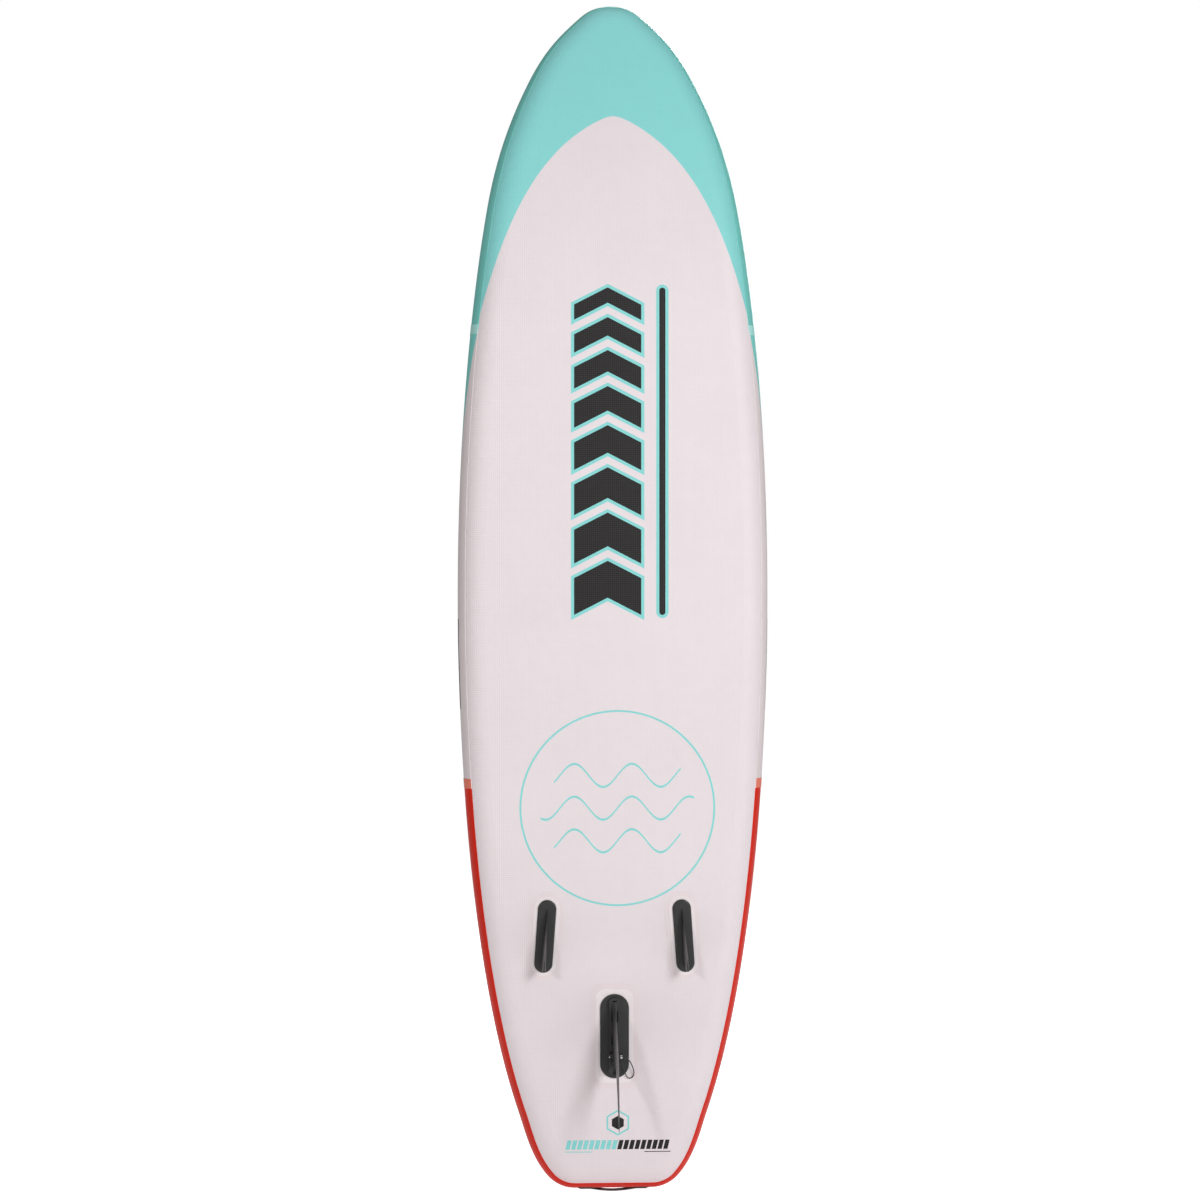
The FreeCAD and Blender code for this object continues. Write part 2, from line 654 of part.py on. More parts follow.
STRAP = size("webbing_thickness")
FOOT = size("strap_foot")
NOSE_FRAME = deck_frame(LENGTH - size("nose_handle_from_nose"))
nose_out = size("nose_span") / 2 + FOOT / 2
nose_print = footprint_pair(nose_out, FOOT * 1.5, size("nose_width") * 1.8, NOSE_FRAME)
put("nose_handle_patches", deck_patch("nose_patches", nose_print))
nose_strap = strap_arch("nose_strap", size("nose_span"), size("nose_rise"), size("nose_width"), STRAP, FOOT,
                        size("patch_thickness + seat_gap"))
put("nose_handle_strap", nose_strap, NOSE_FRAME)

tail_patch_layer = board_solid(-size("patch_thickness")).cut(outside)
tail_out = size("tail_span") / 2 + FOOT / 2
tail_print = footprint_pair(tail_out, FOOT * 1.3, 2 * size("tail_patch_half"), TAIL_FRAME)
put("tail_handle_patches", feature("tail_patches", tail_patch_layer.common(tail_print)))
tail_strap = strap_arch("tail_strap", size("tail_span"), size("tail_rise"), size("tail_width"), STRAP, FOOT,
                        size("patch_thickness"))
put("tail_handle_strap", tail_strap, TAIL_FRAME)

# ---------------------------------------------------------------- cargo cord

BUNGEE = size("bungee_radius")
BUNGEE_UP = size("patch_thickness + webbing_thickness + bungee_clearance + bungee_radius")


def round_route(points):
    """Straight runs joined by tangent arcs, each arc as large as its two runs allow."""
    edges, radii = [], []
    start = points[0]
    for before, corner, after in zip(points, points[1:], points[2:]):
        back, ahead = before - corner, after - corner
        reach = 0.45 * min(back.Length, ahead.Length)
        enter = corner + back.normalize() * reach
        leave = corner + ahead.normalize() * reach
        half_turn = (math.pi - back.getAngle(ahead)) / 2
        radius = reach / math.tan(half_turn)
        bisector = (back + ahead).normalize()
        middle = corner + bisector * (radius / math.cos(half_turn) - radius)
        edges.append(Part.makeLine(start, enter))
        edges.append(Part.Arc(enter, middle, leave).toShape())
        radii.append(round(radius, 1))
        start = leave
    edges.append(Part.makeLine(start, points[-1]))
    return Part.Wire(edges), radii


def cord_solid(name, points, radius):
    """A cord along a route; the printed volumes show that the sweep kept its section."""
    wire, radii = round_route(points)
    section = Part.Wire(Part.makeCircle(radius, points[0], points[1] - points[0]))
    solid = wire.makePipeShell([section], True, False)
    expected = math.pi * radius ** 2 * wire.Length
    ratio = round(solid.Volume / expected, 4)
    print(name, "length", round(wire.Length, 1), "bend radii", radii, "volume ratio", ratio)
    return feature(name, solid)


cargo_low, cargo_high = size("cargo_low"), size("cargo_high")
cargo_middle = (cargo_low + cargo_high) / 2
cargo_half = size("cargo_half")
diagonal = math.atan2(cargo_high - cargo_low, 2 * cargo_half)
CARGO_CORNERS = [(-1, -1), (1, 1), (-1, 1), (1, -1)]


def cargo_frame(side, end):
    """The frame of one cord loop: its tunnel lies square to the middle of the cord's two runs."""
    height = cargo_high if end > 0 else cargo_low
    inward = math.degrees(diagonal / 2)
    spins = {(-1, -1): 90 - inward + 180, (1, -1): inward + 90, (-1, 1): inward - 90, (1, 1): 90 - inward}
    return deck_frame(height, side * cargo_half, spins[(side, end)])


def cargo_turn(side, end, first):
    """The two route points either side of a cord loop, in the order that the cord passes them."""
    frame = cargo_frame(side, end)
    reach = 5 * BUNGEE
    ends = [frame.multVec(Vector(sign * reach, 0, BUNGEE_UP)) for sign in (-1, 1)]
    ends.sort(key=lambda point: point.distanceToPoint(first))
    return ends


knot_end = deck_frame(cargo_low, -cargo_half / 4).multVec(Vector(0, 0, BUNGEE_UP))
loose_end = deck_frame(cargo_low, cargo_half / 4).multVec(Vector(0, 0, BUNGEE_UP))
hump = 2 * BUNGEE
crossing_frames = [
    deck_frame(cargo_middle + sign * hump * math.sin(diagonal), -sign * hump * math.cos(diagonal))
    for sign in (-1, 1)
]
crossing_up = Vector(0, 0, BUNGEE_UP + size("crossing_rise"))
crossing_top = [frame.multVec(crossing_up) for frame in crossing_frames]
bungee_route = [knot_end]
bungee_route += cargo_turn(-1, -1, knot_end)
bungee_route += cargo_turn(1, 1, deck_frame(cargo_middle, 0).Base)
bungee_route += cargo_turn(-1, 1, deck_frame(cargo_high, 0).Base)
bungee_route += crossing_top[::-1]
bungee_route += cargo_turn(1, -1, deck_frame(cargo_middle, 0).Base)
bungee_route += [loose_end]
put("bungee_cord", cord_solid("bungee", bungee_route, BUNGEE))

cargo_patch = rod("cargo_patch", "cargo_patch_radius", "patch_thickness", ("0", "0", "0"), "z")
cargo_frames = [cargo_frame(side, end) for side, end in CARGO_CORNERS]
put_copies("cargo_patches", cargo_patch, cargo_frames)
cargo_loop = webbing_loop(
    "cargo_loop", "bungee_radius", "bungee_clearance", "webbing_width * 0.7", "loop_tail * 0.8")
put_copies("cargo_loops", cargo_loop, cargo_frames)
clamp = box(
    "clamp", "cargo_half / 2 + 16", "4 * bungee_radius", "3.4 * bungee_radius", base="patch_thickness")
clamp = rounded("clamp_round", clamp, BUNGEE, lambda edge: edge.Length > 3 * BUNGEE)
lock_hole = rod("clamp_hole", "bungee_radius + fin_clearance", "cargo_half",
                ("-cargo_half / 2", "0", str(BUNGEE_UP)), "x")
put("bungee_lock", cut("clamp_cut", clamp, lock_hole), deck_frame(cargo_low))

# ---------------------------------------------------------------- centre fin box

BOX_FRAME = hull_frame(size("box_height"))
patch = box("fin_patch", "box_patch_width", "box_patch_length", "patch_thickness")
put("fin_box_patch", rounded("fin_patch_round", patch, size("box_patch_width") / 5, upright), BOX_FRAME)

flange = box(
    "fin_flange", "box_flange_width", "box_flange_length", "flange_thickness", base="patch_thickness")
put("fin_box_flange", rounded("fin_flange_round", flange, size("box_flange_width") / 4, upright), BOX_FRAME)
box_floor = "patch_thickness + flange_thickness"
plate = box("box_plate", "box_width", "box_length", "box_base", base=box_floor)
plate_round = rounded("box_plate_round", plate, size("box_width") * 0.49, upright)
block = box("box_block", "block_width", "block_length", f"block_top - ( {box_floor} )", base=box_floor)
block_round = rounded("box_block_round", block, size("block_width") * 0.35, upright)
slot_length = "slot_front + slot_back"
slot_middle = ("0", "( slot_front - slot_back ) / 2")
channel = box(
    "box_channel", "tongue_width", slot_length, "lip_under - tongue_floor", slot_middle, "tongue_floor")
throat = box("box_throat", "throat_width", slot_length, "2 * block_top", slot_middle, "tongue_floor")
notches = [
    box(f"box_notch_{i}", "tongue_width", "tab_length + 2 * notch_spare", "2 * block_top",
        ("0", f"first_tab - fin_travel - {i} * tab_pitch"), "tongue_floor")
    for i in range(3)
]
lugs = []
for word, sign in (("left", "-"), ("right", "")):
    lug = box(f"lug_{word}", "lug_thickness", "lug_length", "lug_top - block_top + 2",
              (f"{sign}( throat_width / 2 + lug_thickness / 2 )", "-pin_back"), "block_top - 2")
    lugs.append(lug)
lug_hole = rod("lug_hole", "pin_radius + pin_clearance", "4 * block_width",
               ("-2 * block_width", "-pin_back", "pin_up"), "x")
moulding = fuse("box_moulding", plate_round, block_round, *lugs)
put("fin_box", cut("box_cut", moulding, channel, throat, *notches, lug_hole), BOX_FRAME)

# ---------------------------------------------------------------- centre fin and its lock pin


def foil(front, back, thickness, up):
    """A lens-shaped section of a fin: two arcs between the front and back edges."""
    ends = [Vector(0, front, up), Vector(0, back, up)]
    middle = (front + back) / 2
    bulges = [Vector(side * thickness / 2, middle, up) for side in (1, -1)]
    return Part.Wire([Part.Arc(ends[0], bulge, ends[1]).toShape() for bulge in bulges])


FIN_STATIONS = (
    # share of the depth, front edge, back edge, share of the thickness
    (0.00, 92, -68, 1.00), (0.22, 72, -76, 0.94), (0.45, 34, -97, 0.84),
    (0.68, -28, -134, 0.68), (0.88, -108, -180, 0.48), (1.00, -192, -217, 0.26),
)
fin_root = size("block_top + fin_clearance")
fin_reach = size("fin_depth") - fin_root
sections = [
    foil(front, back, size("fin_thickness") * thick, fin_root + share * fin_reach)
    for share, front, back, thick in FIN_STATIONS
]
blade = feature("fin_blade", Part.makeLoft(sections, True, False))
tongue_front = "slot_front - 3"
tongue_back = "slot_back - fin_travel - 4"
web_length = f"{tongue_front} + {tongue_back}"
web_middle = ("0", f"( {tongue_front} - ( {tongue_back} ) ) / 2")
web_width = "throat_width - 2 * fin_clearance"
floor = "tongue_floor + fin_clearance"
web = box("fin_web", web_width, web_length, f"block_top + 4 - ( {floor} )", web_middle, floor)
tabs = [
    box(f"fin_tab_{i}", "tongue_width - 2 * fin_clearance", "tab_length",
        "lip_under - tongue_floor - 2 * fin_clearance", ("0", f"first_tab - {i} * tab_pitch"), floor)
    for i in range(3)
]
heel = box("fin_heel", web_width, "lug_length + pin_play", "lug_top - block_top",
           ("0", "pin_play / 2 - pin_back"), "block_top")
fin_holes = [
    rod("fin_hole_back", "pin_radius + fin_clearance", "2 * block_width",
        ("-block_width", "-pin_back", "pin_up"), "x"),
    rod("fin_hole_front", "pin_radius + fin_clearance", "2 * block_width",
        ("-block_width", "pin_play - pin_back", "pin_up"), "x"),
    box("fin_hole_between", "2 * block_width", "pin_play", "2 * ( pin_radius + fin_clearance )",
        ("0", "pin_play / 2 - pin_back"), "pin_up - pin_radius - fin_clearance"),
]
put("center_fin", cut("fin_cut", fuse("fin_whole", blade, web, heel, *tabs), *fin_holes), BOX_FRAME)

lug_out = "throat_width / 2 + lug_thickness"
shank = rod("pin_shank", "pin_radius", f"2 * ( {lug_out} ) + pin_overrun + 1",
            (f"-( {lug_out} ) - pin_overrun", "-pin_back", "pin_up"), "x")
pin_head = rod("pin_head", "pin_head_radius", "pin_head_length",
               (f"{lug_out} + 1", "-pin_back", "pin_up"), "x")
put("fin_pin", fuse("pin_whole", shank, pin_head), BOX_FRAME)

PIN_CORD_POINTS = (
    # across from the head's end face, below the pin, and out from the pin's own height
    (0.0, 0.0, 0.0), (8.0, 1.6, 0.0), (16.5, 8.0, -3.0), (24.0, 19.0, -8.0), (29.5, 33.0, -13.0),
    (31.8, 46.0, -17.0), (28.8, 55.0, -18.5), (20.8, 59.0, -18.5), (12.6, 55.0, -18.5), (8.2, 45.0, -17.0),
    (3.2, 31.0, -13.0), (-0.6, 19.5, -7.5), (-2.4, 11.5, -2.6), (-2.5, 5.5, 0.0),
)
pin_end = size(f"{lug_out} + 1 + pin_head_length")
pin_cord_route = [
    BOX_FRAME.multVec(Vector(pin_end + across, -size("pin_back") - down, size("pin_up") + out))
    for across, down, out in PIN_CORD_POINTS
]
put("pin_cord", cord_solid("pin_loop", pin_cord_route, size("pin_cord_radius")))

# ---------------------------------------------------------------- side fins

SIDE_STATIONS = (
    # share of the depth, front edge, back edge, thickness
    (0.00, 74, -78, 13), (0.45, 40, -82, 11), (0.80, -8, -86, 8), (1.00, -52, -86, 4.5),
)


def blunt_foil(front, back, thickness, up):
    """A soft fin's section: a thin front edge, widening to a half-round back."""
    half = thickness / 2
    wide = back + half
    middle = (front + wide) / 2
    right, tail, left = [
        Part.Arc(*[Vector(x, y, up) for x, y in points]).toShape()
        for points in (
            ((0, front), (0.72 * half, middle), (half, wide)),
            ((half, wide), (0, back), (-half, wide)),
            ((-half, wide), (-0.72 * half, middle), (0, front)),
        )
    ]
    return Part.Wire([right, tail, left])


def stadium(length, width, height, base, edge_radius):
    """A plate with half-round ends, longest along y, with its top edge rounded."""
    half, straight = width / 2, (length - width) / 2
    corners = [
        Vector(x, y, base)
        for x, y in ((half, -straight), (half, straight), (-half, straight), (-half, -straight))
    ]
    top, bottom = Vector(0, straight + half, base), Vector(0, -straight - half, base)
    edges = [
        Part.makeLine(corners[0], corners[1]),
        Part.Arc(corners[1], top, corners[2]).toShape(),
        Part.makeLine(corners[2], corners[3]),
        Part.Arc(corners[3], bottom, corners[0]).toShape(),
    ]
    solid = Part.Face(Part.Wire(edges)).extrude(Vector(0, 0, height))
    if not edge_radius:
        return solid
    top = [edge for edge in solid.Edges if edge.CenterOfMass.z > base + height - 0.01]
    return solid.makeFillet(edge_radius, top)


def side_fin():
    """A soft side fin: a long foot with a low raked blade moulded on it."""
    foot_base = size("patch_thickness + flange_thickness")
    height = size("side_base_height")
    foot = stadium(size("side_base_length"), size("side_base_width"), height, foot_base, height * 0.6)
    root = foot_base + height / 2
    wires = [
        blunt_foil(front, back, thick, root + share * (size("side_fin_depth") - root))
        for share, front, back, thick in SIDE_STATIONS
    ]
    return foot.fuse(Part.makeLoft(wires, True, False)).removeSplitter()


toe = size("side_fin_toe")
SIDE_FRAMES = [
    hull_frame(size("side_fin_height"), side * size("side_fin_x"), side * toe)
    for side in (-1, 1)
]
for word, frame in zip(("left", "right"), SIDE_FRAMES):
    put("side_fin_" + word, feature("side_fin_shape_" + word, side_fin()), frame)
for name, over, thickness, base in (
    ("side_fin_patches", "side_patch_over", "patch_thickness", 0),
    ("side_fin_flanges", "side_flange_over", "flange_thickness", size("patch_thickness")),
):
    length, width = [size(f"{word} + 2 * {over}") for word in ("side_base_length", "side_base_width")]
    plate = stadium(length, width, size(thickness), base, 0)
    put_copies(name, feature(name + "_plate", plate), SIDE_FRAMES)

# ---------------------------------------------------------------- inflation valve

flange_base = "gasket_thickness"
flange_top = "gasket_thickness + valve_flange_height"
port_floor = f"{flange_top} - port_depth"
seat_floor = f"{port_floor} - seat_thickness"
neck_end = "-valve_depth"
put("valve_gasket", turned("gasket", (
    ("valve_hole", "0"), ("valve_flange", "0"), ("valve_flange", "gasket_thickness"),
    ("valve_hole", "gasket_thickness"),
)), VALVE_FRAME)

shell = turned("valve_shell", (
    ("valve_neck", neck_end), ("valve_neck", flange_base), ("valve_flange", flange_base),
    ("valve_flange", f"{flange_top} - 2"), ("valve_flange - 2", flange_top),
    ("valve_port + recess_step", flange_top), ("valve_port + recess_step", f"{flange_top} - cap_recess"),
    ("valve_port", f"{flange_top} - cap_recess"),
    ("valve_port", f"{flange_top} - port_lip"), ("valve_port - port_step", f"{flange_top} - port_lip"),
    ("valve_port - port_step", port_floor), ("seat_radius", port_floor), ("seat_radius", seat_floor),
    ("valve_port", seat_floor), ("valve_port", neck_end),
))
hub = rod("valve_hub", "hub_radius", "seat_thickness", ("0", "0", seat_floor), "z")
ribs = [box(f"valve_rib_{word}", length, width, "seat_thickness", base=seat_floor)
        for word, length, width in (("x", "2 * seat_radius + 2", "3"), ("y", "3", "2 * seat_radius + 2"))]
guide = rod("valve_guide", "stem_radius + stem_clearance", "2 * seat_thickness",
            ("0", "0", f"{seat_floor} - 1"), "z")
put("valve_body", cut("valve_body_cut", fuse("valve_frame", shell, hub, *ribs), guide), VALVE_FRAME)

nut_top = "-skin_thickness"
put("valve_nut", turned("nut", (
    ("valve_hole", f"{nut_top} - nut_height"), ("nut_radius - 2", f"{nut_top} - nut_height"),
    ("nut_radius", f"{nut_top} - nut_height + 2"), ("nut_radius", nut_top), ("valve_hole", nut_top),
)), VALVE_FRAME)

seal_floor = f"{seat_floor} - seal_thickness"
disc_floor = f"{seal_floor} - disc_thickness"
button_floor = f"{port_floor} + poppet_travel + 4"
button_top = f"{button_floor} + button_thickness"
stem_top = f"{button_top} - 1"
put("valve_poppet", turned("poppet", (
    ("0", disc_floor), ("disc_radius", disc_floor), ("disc_radius", seal_floor),
    ("stem_radius", seal_floor), ("stem_radius", stem_top), ("0", stem_top),
)), VALVE_FRAME)
put("valve_seal", turned("seal", (
    ("stem_radius + 5", seal_floor), ("disc_radius", seal_floor), ("disc_radius", seat_floor),
    ("stem_radius + 5", seat_floor),
)), VALVE_FRAME)
knob = rod("button_knob", "button_radius", "button_thickness", ("0", "0", button_floor), "z")
wings = box("button_wings", "2 * button_radius + 6", "4", "button_thickness - 1", base=button_floor)
bore = rod("button_bore", "stem_radius + stem_clearance",
           f"{stem_top} - ( {button_floor} ) + stem_clearance", ("0", "0", button_floor), "z")
put("valve_button", cut("button_cut", fuse("button_whole", knob, wings), bore), VALVE_FRAME)


def coil_spring(name, radius, wire, base, height, turns):
    """A coil spring of round wire that stands on the height base."""
    helix = Part.makeHelix((height - 2 * wire) / turns, height - 2 * wire, radius)
    section = Part.Wire(Part.makeCircle(wire, Vector(radius, 0, 0), Vector(0, 1, 0)))
    coil = Part.Wire(helix).makePipeShell([section], True, True)
    coil.translate(Vector(0, 0, base + wire))
    return feature(name, coil)


SPRING_WIRE = 0.4
spring_room = size(f"{button_floor} - poppet_travel - ( {port_floor} )")
spring = coil_spring("spring", size("hub_radius") - 1, SPRING_WIRE, size(port_floor), spring_room, 2.5)
put_copies("valve_spring", spring, [VALVE_FRAME])

hinge_at = ("-hinge_out", "hinge_up")
cap_base = f"{flange_top} + ear_gap"
plug_radius = "valve_port + recess_step - plug_gap"
plug_end = f"{flange_top} - plug_depth"
dome = turned("cap_dome", (
    ("0", plug_end), (plug_radius, plug_end), (plug_radius, cap_base), ("cap_radius", cap_base),
    ("cap_radius", f"{cap_base} + cap_height / 2"), ("cap_radius - 4", f"{cap_base} + cap_height"),
    ("0", f"{cap_base} + cap_height"),
))
ears = []
for word, sign in (("left", "-"), ("right", "")):
    middle = f"{sign}( knuckle_half + ear_gap + ear_thickness / 2 )"
    arm = box(f"cap_arm_{word}", "ear_thickness", "hinge_out - cap_radius + 6", "2 * knuckle_radius",
              (middle, f"-( hinge_out + cap_radius - 6 ) / 2"), cap_base)
    ear = rod(f"cap_ear_{word}", "knuckle_radius", "ear_thickness",
              (f"{middle} - ear_thickness / 2", "-hinge_out", "hinge_up + knuckle_radius"), "x")
    ears += [arm, ear]
hinge_z = "hinge_up + knuckle_radius"
pin_length = "2 * ( knuckle_half + ear_gap + ear_thickness )"
pin_start = "-knuckle_half - ear_gap - ear_thickness"
hinge_start = (pin_start, "-hinge_out", hinge_z)
cap_pin_hole = rod("cap_pin_hole", "hinge_pin_radius + stem_clearance", pin_length, hinge_start, "x")
put("valve_cap", cut("cap_cut", fuse("cap_whole", dome, *ears), cap_pin_hole), VALVE_FRAME)

collar = turned("tether_collar", (
    ("valve_flange + ear_gap", "0"), ("valve_flange + 5", "0"), ("valve_flange + 5", "tether_thickness"),
    ("valve_flange + ear_gap", "tether_thickness"),
))
tongue = box("tether_tongue", "2 * knuckle_half", "hinge_out - valve_flange + 1", "tether_thickness",
             ("0", "-( hinge_out + valve_flange + 3 ) / 2"))
post = box("tether_post", "2 * knuckle_half", "2 * knuckle_radius", hinge_z, ("0", "-hinge_out"))
knuckle_start = ("-knuckle_half", "-hinge_out", hinge_z)
knuckle = rod("tether_knuckle", "knuckle_radius", "2 * knuckle_half", knuckle_start, "x")
tether_hole = rod("tether_hole", "hinge_pin_radius", "2 * knuckle_half", knuckle_start, "x")
tether = fuse("tether_whole", collar, tongue, post, knuckle)
put("valve_tether", cut("tether_cut", tether, tether_hole), VALVE_FRAME)
hinge_pin = rod("hinge_pin", "hinge_pin_radius", pin_length, hinge_start, "x")
put_copies("valve_hinge_pin", hinge_pin, [VALVE_FRAME])

# ---------------------------------------------------------------- check and write

doc.recompute()
for item in doc.Objects:
    if "Invalid" in item.State or "Error" in item.State:
        raise RuntimeError(f"{item.Name} failed: {item.State}")
os.makedirs("parts", exist_ok=True)
for name, item in nodes.items():
    shape = item.Shape
    if shape.isNull() or not shape.isValid() or not shape.Solids:
        raise RuntimeError(f"{name} has no valid solid")
    shape.exportStep(f"parts/{name}.step")
print(len(nodes), "sub-parts written")
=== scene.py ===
# %% [markdown]
# # An inflatable stand up paddleboard
# The real board is two sheets of drop-stitch PVC, joined round the edge by glued rail tapes, with
# moulded fins, sewn webbing and a foam deck pad fixed on it. The CAD model already holds the hull,
# the fins, the valve and the rings, so this script loads it as a frame, gives each surface its real
# finish, and replaces the soft pieces (webbing, grip, foam pad, cord) with detailed ones.

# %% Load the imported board
import math

import bmesh
import bpy
from mathutils import Matrix, Vector


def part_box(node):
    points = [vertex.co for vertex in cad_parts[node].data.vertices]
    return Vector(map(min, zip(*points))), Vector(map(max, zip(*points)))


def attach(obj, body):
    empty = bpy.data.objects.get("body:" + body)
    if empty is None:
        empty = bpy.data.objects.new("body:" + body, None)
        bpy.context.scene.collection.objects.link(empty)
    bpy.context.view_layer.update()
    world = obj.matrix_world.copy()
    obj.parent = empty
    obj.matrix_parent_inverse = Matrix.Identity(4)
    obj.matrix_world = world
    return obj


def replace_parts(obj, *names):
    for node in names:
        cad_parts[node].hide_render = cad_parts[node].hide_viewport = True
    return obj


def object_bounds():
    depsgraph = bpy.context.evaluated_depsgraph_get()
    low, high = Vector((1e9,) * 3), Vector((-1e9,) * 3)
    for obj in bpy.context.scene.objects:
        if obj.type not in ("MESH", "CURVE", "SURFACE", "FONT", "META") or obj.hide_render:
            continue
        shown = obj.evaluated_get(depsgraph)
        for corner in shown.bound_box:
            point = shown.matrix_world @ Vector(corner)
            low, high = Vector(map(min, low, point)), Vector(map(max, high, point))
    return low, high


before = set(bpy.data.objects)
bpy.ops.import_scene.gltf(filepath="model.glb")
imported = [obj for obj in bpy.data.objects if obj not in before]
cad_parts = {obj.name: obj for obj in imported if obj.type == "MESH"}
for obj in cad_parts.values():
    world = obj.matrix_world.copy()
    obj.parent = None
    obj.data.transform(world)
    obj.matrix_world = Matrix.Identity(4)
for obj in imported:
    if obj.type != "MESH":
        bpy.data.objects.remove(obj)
cad_low, cad_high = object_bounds()
print("board", [round(v, 3) for v in cad_high - cad_low])

# %% [markdown]
# ## The camera
# A tall flat object is shown best from far away with a long lens, so its sides stay parallel. The
# camera stands 8 m off, level with the middle of the board and 3 degrees to its left, so a little
# more of the left rail shows than of the right.

# %% Camera
CAMERA_DISTANCE = 8.0
CAMERA_SIDE = math.radians(-3)
PICTURE_WIDTH = 3.119
look_at = Vector((-0.0375, -0.075, 1.539))
camera_data = bpy.data.cameras.new("studio_camera")
camera_data.sensor_width = 36
camera_data.lens = camera_data.sensor_width * CAMERA_DISTANCE / PICTURE_WIDTH
camera = bpy.data.objects.new("studio_camera", camera_data)
bpy.context.scene.collection.objects.link(camera)
away = Vector((math.sin(CAMERA_SIDE), -math.cos(CAMERA_SIDE), 0))
camera.location = look_at + away * CAMERA_DISTANCE
camera.rotation_euler = (-away).to_track_quat("-Z", "Y").to_euler()
bpy.context.scene.camera = camera
bpy.context.scene.view_settings.view_transform = "Standard"
print("lens", round(camera_data.lens, 1))

# %% [markdown]
# ## The lock pin's cord
# A thin black cord is tied through the head of the fin's lock pin and hangs beside it as a slack
# loop, so that the pin can't be lost. It is a curve through a few points, because a NURBS spline
# bends as a limp cord does, with no corners. It leaves the head's end and comes back to its side.

# %% Pin cord
PIN_CORD_RADIUS = 0.0014
PIN_CORD_ROUTE = [
    (0.0190, -0.1020, 0.3550), (0.0270, -0.1020, 0.3534), (0.0355, -0.0990, 0.3470),
    (0.0430, -0.0940, 0.3360), (0.0485, -0.0890, 0.3220), (0.0508, -0.0850, 0.3090),
    (0.0478, -0.0835, 0.3000), (0.0398, -0.0835, 0.2960), (0.0316, -0.0835, 0.3000),
    (0.0272, -0.0850, 0.3100), (0.0222, -0.0890, 0.3240), (0.0184, -0.0945, 0.3355),
    (0.0166, -0.0994, 0.3435), (0.0165, -0.1020, 0.3495),
]


def smooth_cord(name, route, radius):
    """A round cord on one smooth NURBS curve; each point's radius is the cord's own radius."""
    curve = bpy.data.curves.new(name, "CURVE")
    curve.dimensions = "3D"
    curve.bevel_depth = 1.0
    curve.bevel_resolution = 4
    curve.resolution_u = 12
    curve.use_fill_caps = True
    spline = curve.splines.new("NURBS")
    spline.points.add(len(route) - 1)
    for point, place in zip(spline.points, route):
        point.co = (*place, 1)
        point.radius = radius
    spline.order_u = 3
    spline.use_endpoint_u = True
    cord = bpy.data.objects.new(name, curve)
    bpy.context.scene.collection.objects.link(cord)
    return cord


pin_cord_loop = smooth_cord("pin_cord_loop", PIN_CORD_ROUTE, PIN_CORD_RADIUS)
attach(pin_cord_loop, "lock_pin")
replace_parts(pin_cord_loop, "pin_cord")
print("pin cord points", len(PIN_CORD_ROUTE))

# %% [markdown]
# ## Building a finish from nodes
# Every finish below is a Principled shader with a few nodes in front of it. Colours are written as
# the hex values that a screen shows, and turned to the linear values that the renderer needs.

# %% Helpers for finishes
def linear(hex_colour):
    """A screen colour such as "#86D0CE" as linear red, green, blue and alpha."""
    channels = [int(hex_colour[i:i + 2], 16) / 255 for i in (1, 3, 5)]
    return (*[c / 12.92 if c <= 0.04045 else ((c + 0.055) / 1.055) ** 2.4 for c in channels], 1)


def add(tree, kind, settings, inputs):
    """Adds one node: settings are its own properties, inputs are values or sockets to link."""
    node = tree.nodes.new(kind)
    for name, value in settings.items():
        setattr(node, name, value)
    for name, value in inputs.items():
        if isinstance(value, bpy.types.NodeSocket):
            tree.links.new(value, node.inputs[name])
        else:
            node.inputs[name].default_value = value
    return node


def new_finish(name, colour, roughness, **more):
    """A material with one Principled shader; more sets other sockets, such as Coat_Weight."""
    material = bpy.data.materials.new(name)
    material.use_nodes = True
    tree = material.node_tree
    tree.nodes.clear()
    shader = add(tree, "ShaderNodeBsdfPrincipled", {},
                 {"Base Color": linear(colour), "Roughness": roughness})
    for socket, value in more.items():
        shader.inputs[socket.replace("_", " ")].default_value = value
    add(tree, "ShaderNodeOutputMaterial", {}, {"Surface": shader.outputs[0]})
    return material, tree, shader


def formula(tree, *steps):
    """A chain of Math nodes: each step is (operation, value) and works on the one before it."""
    value = steps[0]
    for operation, *others in steps[1:]:
        inputs = {0: value, **{number: other for number, other in enumerate(others, start=1)}}
        value = add(tree, "ShaderNodeMath", {"operation": operation}, inputs).outputs[0]
    return value


def surface_detail(tree, shader, share, first, second, height, distance):
    """Runs the colour from first to second by share, and raises the surface by height, in metres."""
    tones = {"Factor": share, 6: first, 7: second}
    colour = add(tree, "ShaderNodeMix", {"data_type": "RGBA"}, tones).outputs[2]
    relief = add(tree, "ShaderNodeBump", {}, {"Height": height, "Distance": distance}).outputs[0]
    tree.links.new(colour, shader.inputs["Base Color"])
    tree.links.new(relief, shader.inputs["Normal"])
    return colour


def place_on(tree):
    """The surface's own x, y and z in metres."""
    place = add(tree, "ShaderNodeTexCoord", {}, {}).outputs["Object"]
    return place, add(tree, "ShaderNodeSeparateXYZ", {}, {0: place}).outputs


# %% [markdown]
# ## Drop-stitch PVC
# The flat faces are PVC pressed on a woven base, and the weave shows through as rows of small
# slanting dots, 10 mm apart along the board. The dots are the product of two sine waves that cross
# at right angles. Colours are printed on the PVC, so the nose print is a line across the same
# sheet: a pointed arch, whose height falls with the distance from the middle by a short formula.

